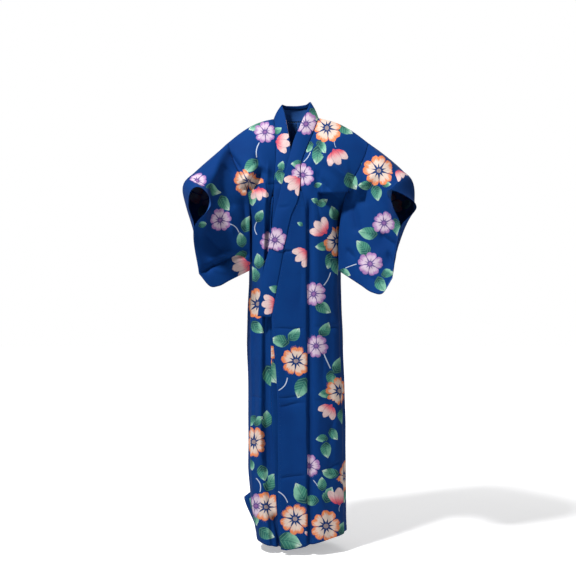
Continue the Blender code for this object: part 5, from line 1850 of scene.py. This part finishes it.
def clothGroup():
    # the printed colour and the height of the weave
    inputs = {"Ground": colourSocket, "Print": floatSocket}
    inputs.update({name: vectorIn for name in ("Flower", "Leaf", "Stem", "Cloth")})
    tree, entry, leave = newGroup("printedCotton", inputs, {"Color": colourSocket, "Height": floatSocket})
    place = addNode(tree, "ShaderNodeSeparateXYZ", {0: entry["Cloth"]})
    u, v = [Value(tree, socket) for socket in place.outputs[:2]]
    cloud = rise(noise(u, v, 0.0, cotton["cloudScale"], 3.0), *cotton["cloudFrom"])
    ground = addNode(tree, "ShaderNodeMix", {0: cloud, 6: entry["Ground"], 7: dyes["cloud"]},
                     data_type="RGBA", blend_type="MULTIPLY")
    colour = ground.outputs[2]
    for layer, group in (("Stem", stemGroup()), ("Leaf", leafGroup()), ("Flower", flowerGroup())):
        drawn = addNode(tree, "ShaderNodeGroup", node_tree=group)
        feed(tree, drawn.inputs["Frame"], entry[layer])
        strength = Value(tree, drawn.outputs["Mask"]) * entry["Print"]
        colour = blend(strength, colour, dyes["stem"] if layer == "Stem" else drawn.outputs["Color"])
    # uneven yarns, then the plain weave
    across, along = cotton["yarnStreaks"]
    warp = noise(u * across, v * along, 0.0, 1.0, 1.0)
    weft = noise(u * along, v * across, 3.0, 1.0, 1.0)
    yarn = centred(warp, cotton["yarnUneven"]) + centred(weft, cotton["yarnUneven"])
    shade = {"Value": 1.0 + yarn * cotton["yarnTone"], "Color": colour}
    tone = addNode(tree, "ShaderNodeHueSaturation", shade)
    turn = 2 * pi / cotton["yarn"]
    weave = (u * turn).apply("SINE") * (v * turn).apply("SINE")
    feed(tree, leave["Color"], tone.outputs["Color"])
    feed(tree, leave["Height"], weave + yarn * cotton["yarnHeight"])
    return tree


def clothMaterial(name, ground, printStrength, group):
    material, tree, shader = newMaterial(name, {
        "Roughness": cotton["roughness"],
        "Sheen Weight": cotton["sheen"],
        "Sheen Roughness": cotton["sheenRoughness"],
        "Specular IOR Level": cotton["specular"],
    })
    cloth = addNode(tree, "ShaderNodeGroup", node_tree=group)
    feed(tree, cloth.inputs["Ground"], ground)
    feed(tree, cloth.inputs["Print"], printStrength)
    for layer in ("Flower", "Leaf", "Stem"):
        frame = addNode(tree, "ShaderNodeAttribute", attribute_name=layer.lower())
        fromOrigin = addNode(tree, "ShaderNodeVectorMath", {0: frame.outputs["Vector"], 1: motifOrigin},
                             operation="SUBTRACT")
        feed(tree, cloth.inputs[layer], fromOrigin.outputs[0])
    feed(tree, cloth.inputs["Cloth"], addNode(tree, "ShaderNodeUVMap", uv_map="cloth").outputs[0])
    bump = addNode(tree, "ShaderNodeBump", {"Strength": cotton["bump"], "Distance": cotton["bumpHeight"],
                                            "Height": cloth.outputs["Height"]})
    feed(tree, shader["Normal"], bump.outputs[0])
    feed(tree, shader["Base Color"], cloth.outputs["Color"])
    return material


printedCotton = clothGroup()
outside = clothMaterial("cottonOutside", dyes["ground"], 1.0, printedCotton)
inside = clothMaterial("cottonInside", dyes["reverse"], cotton["reversePrint"], printedCotton)
for name, piece in pieces.items():
    piece.data.materials.append(outside)
    piece.data.materials.append(inside)
    piece.modifiers["wall"].material_offset = 1
    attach(piece, "root")
    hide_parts(name)
    name + "_cotton"
print("cloth dyed")


# the sewing: small blind stitches that hold the hems and the turned edges

sewing = {
    "spacing": 0.016,
    "length": 0.0030,
    "width": 0.0006,
    "uneven": 0.25,             # how far lengths and directions wander
    "seed": 5,
    "hemUp": 0.013,             # from the hem's fold up to the stitches
    "edgeIn": 0.008,
    "cuffIn": 0.006,
    "beadSides": 8,
    "beadRings": 6,
    "colour": (0.006, 0.020, 0.090, 1),
    "roughness": 0.6,
    "fibres": 1500.0,
}


def stitchGroup():
    inputs = {
        "Path": "NodeSocketGeometry", "Spacing": floatSocket, "Length": floatSocket, "Width": floatSocket,
        "Uneven": floatSocket, "Seed": "NodeSocketInt", "Thread": "NodeSocketMaterial",
    }
    outputs = {"Stitches": "NodeSocketGeometry"}
    tree, entry, leave = newGroup("runningStitch", inputs, outputs, "GeometryNodeTree")
    curve = addNode(tree, "GeometryNodeMeshToCurve", {0: entry["Path"]})
    sockets = {"Curve": curve.outputs[0], "Length": entry["Spacing"]}
    points = addNode(tree, "GeometryNodeResampleCurve", sockets, mode="LENGTH")
    bead = addNode(tree, "GeometryNodeMeshUVSphere",
                   {"Segments": sewing["beadSides"], "Rings": sewing["beadRings"], "Radius": 0.5})
    backwards = Value(tree, entry["Uneven"]) * -1.0
    sockets = {"Seed": entry["Seed"], "Min": backwards, "Max": entry["Uneven"]}
    wander = addNode(tree, "FunctionNodeRandomValue", sockets, data_type="FLOAT_VECTOR")
    tangent = addNode(tree, "GeometryNodeInputTangent")
    heading = addNode(tree, "ShaderNodeVectorMath", {0: tangent.outputs[0], 1: wander.outputs[0]})
    align = addNode(tree, "FunctionNodeAlignRotationToVector", {"Vector": heading.outputs[0]}, axis="X")
    size = addNode(tree, "ShaderNodeCombineXYZ", {0: entry["Length"], 1: entry["Width"], 2: entry["Width"]})
    row = addNode(tree, "GeometryNodeInstanceOnPoints", {
        "Points": points.outputs[0], "Instance": bead.outputs["Mesh"],
        "Rotation": align.outputs[0], "Scale": size.outputs[0],
    })
    real = addNode(tree, "GeometryNodeRealizeInstances", {0: row.outputs[0]})
    sockets = {"Geometry": real.outputs[0], "Material": entry["Thread"]}
    dyed = addNode(tree, "GeometryNodeSetMaterial", sockets)
    feed(tree, leave["Stitches"], dyed.outputs[0])
    return tree


def clothLine(name, edge, distance):
    # a line on the cloth's outer face at a distance from its hem (rows end) or its free edge (columns end)
    grid = grids[name]
    outer = grid + outwardNormals(name, grid) * (robe["panelWall"] + sewing["width"]) / 2
    last, bottom = edgeGaps(grid)[1], edgeGaps(grid)[3]
    gaps = bottom.T if edge == "hem" else last
    lanes = np.swapaxes(outer, 0, 1) if edge == "hem" else outer
    return np.array([[np.interp(distance, gap[::-1], lane[::-1, part]) for part in range(3)]
                     for gap, lane in zip(gaps, lanes)])


def addStitches(name, lines):
    points, edges = [], []
    for line in lines:
        first = len(points)
        points += [tuple(point) for point in line]
        edges += [(n, n + 1) for n in range(first, len(points) - 1)]
    data = bpy.data.meshes.new(name + "_path")
    data.from_pydata(points, edges, [])
    path = addObject(name + "_path", data)
    modifier = path.modifiers.new("stitches", "NODES")
    modifier.node_group = runningStitch
    values = {label: sewing[label.lower()] for label in ("Spacing", "Length", "Width", "Uneven", "Seed")}
    values["Thread"] = thread
    for item in runningStitch.interface.items_tree:
        if item.name in values:
            modifier[item.identifier] = values[item.name]
    made = path.evaluated_get(bpy.context.evaluated_depsgraph_get())
    row = addObject("stitches_" + name, bpy.data.meshes.new_from_object(made))
    bpy.data.objects.remove(path)
    for polygon in row.data.polygons:
        polygon.use_smooth = True
    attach(row, "root")
    name + "_cotton"
    return row


thread, threadTree, threadShader = newMaterial("thread", {"Roughness": sewing["roughness"]})
twist = addNode(threadTree, "ShaderNodeTexNoise", {
    "Vector": threadTree.nodes.new("ShaderNodeTexCoord").outputs["Object"], "Scale": sewing["fibres"],
})
feed(threadTree, threadShader["Base Color"],
     blend(Value(threadTree, twist.outputs["Fac"]), sewing["colour"], dyes["reverse"]))
runningStitch = stitchGroup()
stitches = {}
for side in (1, -1):
    body, overlap, sleeve = [part + sideName(side) for part in ("body_", "overlap_", "sleeve_")]
    hems = [clothLine(panel + sideName(side), "hem", sewing["hemUp"]) for panel in ("front_", "back_")]
    stitches[body] = addStitches(body, hems)
    overlapLines = [clothLine(overlap, "hem", sewing["hemUp"]), clothLine(overlap, "edge", sewing["edgeIn"])]
    stitches[overlap] = addStitches(overlap, overlapLines)
    stitches[sleeve] = addStitches(sleeve, [clothLine(sleeve, "edge", sewing["cuffIn"])])
print("sewing")


# the cut of each piece, as much of it as shows

Cut = namedtuple("Cut", "width length held on")
cuts = {
    "body_left": Cut(0.27, 3.20, "hung", ()),
    "body_right": Cut(0.27, 3.20, "hung", ()),
    "overlap_left": Cut(0.13, 1.20, "hung", ("body_left",)),
    "overlap_right": Cut(0.13, 1.20, "hung", ("body_right",)),
    "collar": Cut(0.060, 1.90, "folded", ("body_left", "body_right")),
    "over_collar": Cut(0.090, 1.20, "folded", ("collar",)),
    "sleeve_left": Cut(0.34, 1.00, "hung", ("body_left",)),
    "sleeve_right": Cut(0.34, 1.00, "hung", ("body_right",)),
}


def gridArea(grid):
    across, down = np.diff(grid, axis=1)[:-1], np.diff(grid, axis=0)[:, :-1]
    return np.linalg.norm(np.cross(across, down), axis=2).sum()


for name, cut in cuts.items():
    panels = ["front" + name[4:], "back" + name[4:]] if name.startswith("body") else [name]
    print("cloth shown", name, round(float(sum(gridArea(grids[panel]) for panel in panels)), 3))
    sewn = [stitches[name]] if name in stitches else ()


# the studio: a wide pale floor, soft lamps and a pale surround

Lamp = namedtuple("Lamp", "name place aim size power")
studio = {
    "floorRadius": 14.0,
    "floorBelow": 0.020,        # air between the lowest hem and the floor
    "floorColour": (0.90, 0.90, 0.905, 1.0),
    "floorRoughness": 0.9,
    "floorGlow": (2.0, 5.0, 0.45, 1.05),    # distances in metres and glow: it fades into the white surround
    "surround": (1.0, 1.0, 1.0, 1.0),
    "surroundStrength": 0.20,
    "cameraPlace": (-0.034, -4.0, -0.636),
    "cameraAim": (-0.034, 0.0, -0.636),
    "lens": 66.84,
    "sensor": 36.0,
    "lamps": (
        Lamp("keyLamp", (-1.8, -2.2, 3.0), (0.0, 0.0, -0.8), 0.6, 305.0),
        Lamp("fillLamp", (2.4, -3.2, 0.8), (0.0, 0.0, -0.8), 2.2, 15.0),
        Lamp("backLamp", (0.6, 3.2, 1.6), (0.0, 0.0, -0.7), 2.2, 45.0),
    ),
}


def addFloor(name, radius, z, corners=96):
    angles = [2 * pi * n / corners for n in range(corners)]
    ring = [(radius * cos(angle), radius * sin(angle), z) for angle in angles]
    data = bpy.data.meshes.new(name)
    data.from_pydata(ring, [], [list(range(corners))])
    data.update()
    return addObject(name, data)


def aimAt(item, place, aim):
    item.location = place
    item.rotation_euler = (Vector(aim) - Vector(place)).to_track_quat("-Z", "Y").to_euler()


floor = addFloor("floor", studio["floorRadius"], cadBox[0][2] - studio["floorBelow"])
floorPaint, floorTree, floorShader = newMaterial("floorPaint", {
    "Base Color": studio["floorColour"],
    "Roughness": studio["floorRoughness"],
    "Emission Color": studio["floorColour"],
})
floorPlace = addNode(floorTree, "ShaderNodeTexCoord")
fromMiddle = addNode(floorTree, "ShaderNodeVectorMath", {0: floorPlace.outputs["Object"]}, operation="LENGTH")
glowEnds = dict(zip(("From Min", "From Max", "To Min", "To Max"), studio["floorGlow"]))
glow = addNode(floorTree, "ShaderNodeMapRange", {"Value": fromMiddle.outputs["Value"], **glowEnds})
seenDirectly = addNode(floorTree, "ShaderNodeLightPath").outputs["Is Camera Ray"]
feed(floorTree, floorShader["Emission Strength"], Value(floorTree, glow.outputs["Result"]) * seenDirectly)
floor.data.materials.append(floorPaint)

# the camera sees the surround white, and it lights the cloth more softly
world = bpy.data.worlds.new("surround")
world.use_nodes = True
surround = world.node_tree.nodes["Background"]
surround.inputs["Color"].default_value = studio["surround"]
seenDirectly = addNode(world.node_tree, "ShaderNodeLightPath").outputs["Is Camera Ray"]
strength = addNode(world.node_tree, "ShaderNodeMapRange",
                   {"Value": seenDirectly, "To Min": studio["surroundStrength"], "To Max": 1.0})
feed(world.node_tree, surround.inputs["Strength"], strength.outputs["Result"])
bpy.context.scene.world = world

for lamp in studio["lamps"]:
    data = bpy.data.lights.new(lamp.name, "AREA")
    data.shape = "DISK"
    data.size = lamp.size
    data.energy = lamp.power
    aimAt(addObject(lamp.name, data), lamp.place, lamp.aim)

cameraData = bpy.data.cameras.new("camera")
cameraData.lens = studio["lens"]
cameraData.sensor_width = studio["sensor"]
cameraData.sensor_fit = "HORIZONTAL"
camera = addObject("camera", cameraData)
aimAt(camera, studio["cameraPlace"], studio["cameraAim"])
bpy.context.scene.camera = camera
bpy.context.scene.view_settings.view_transform = "Standard"
print("studio and camera")
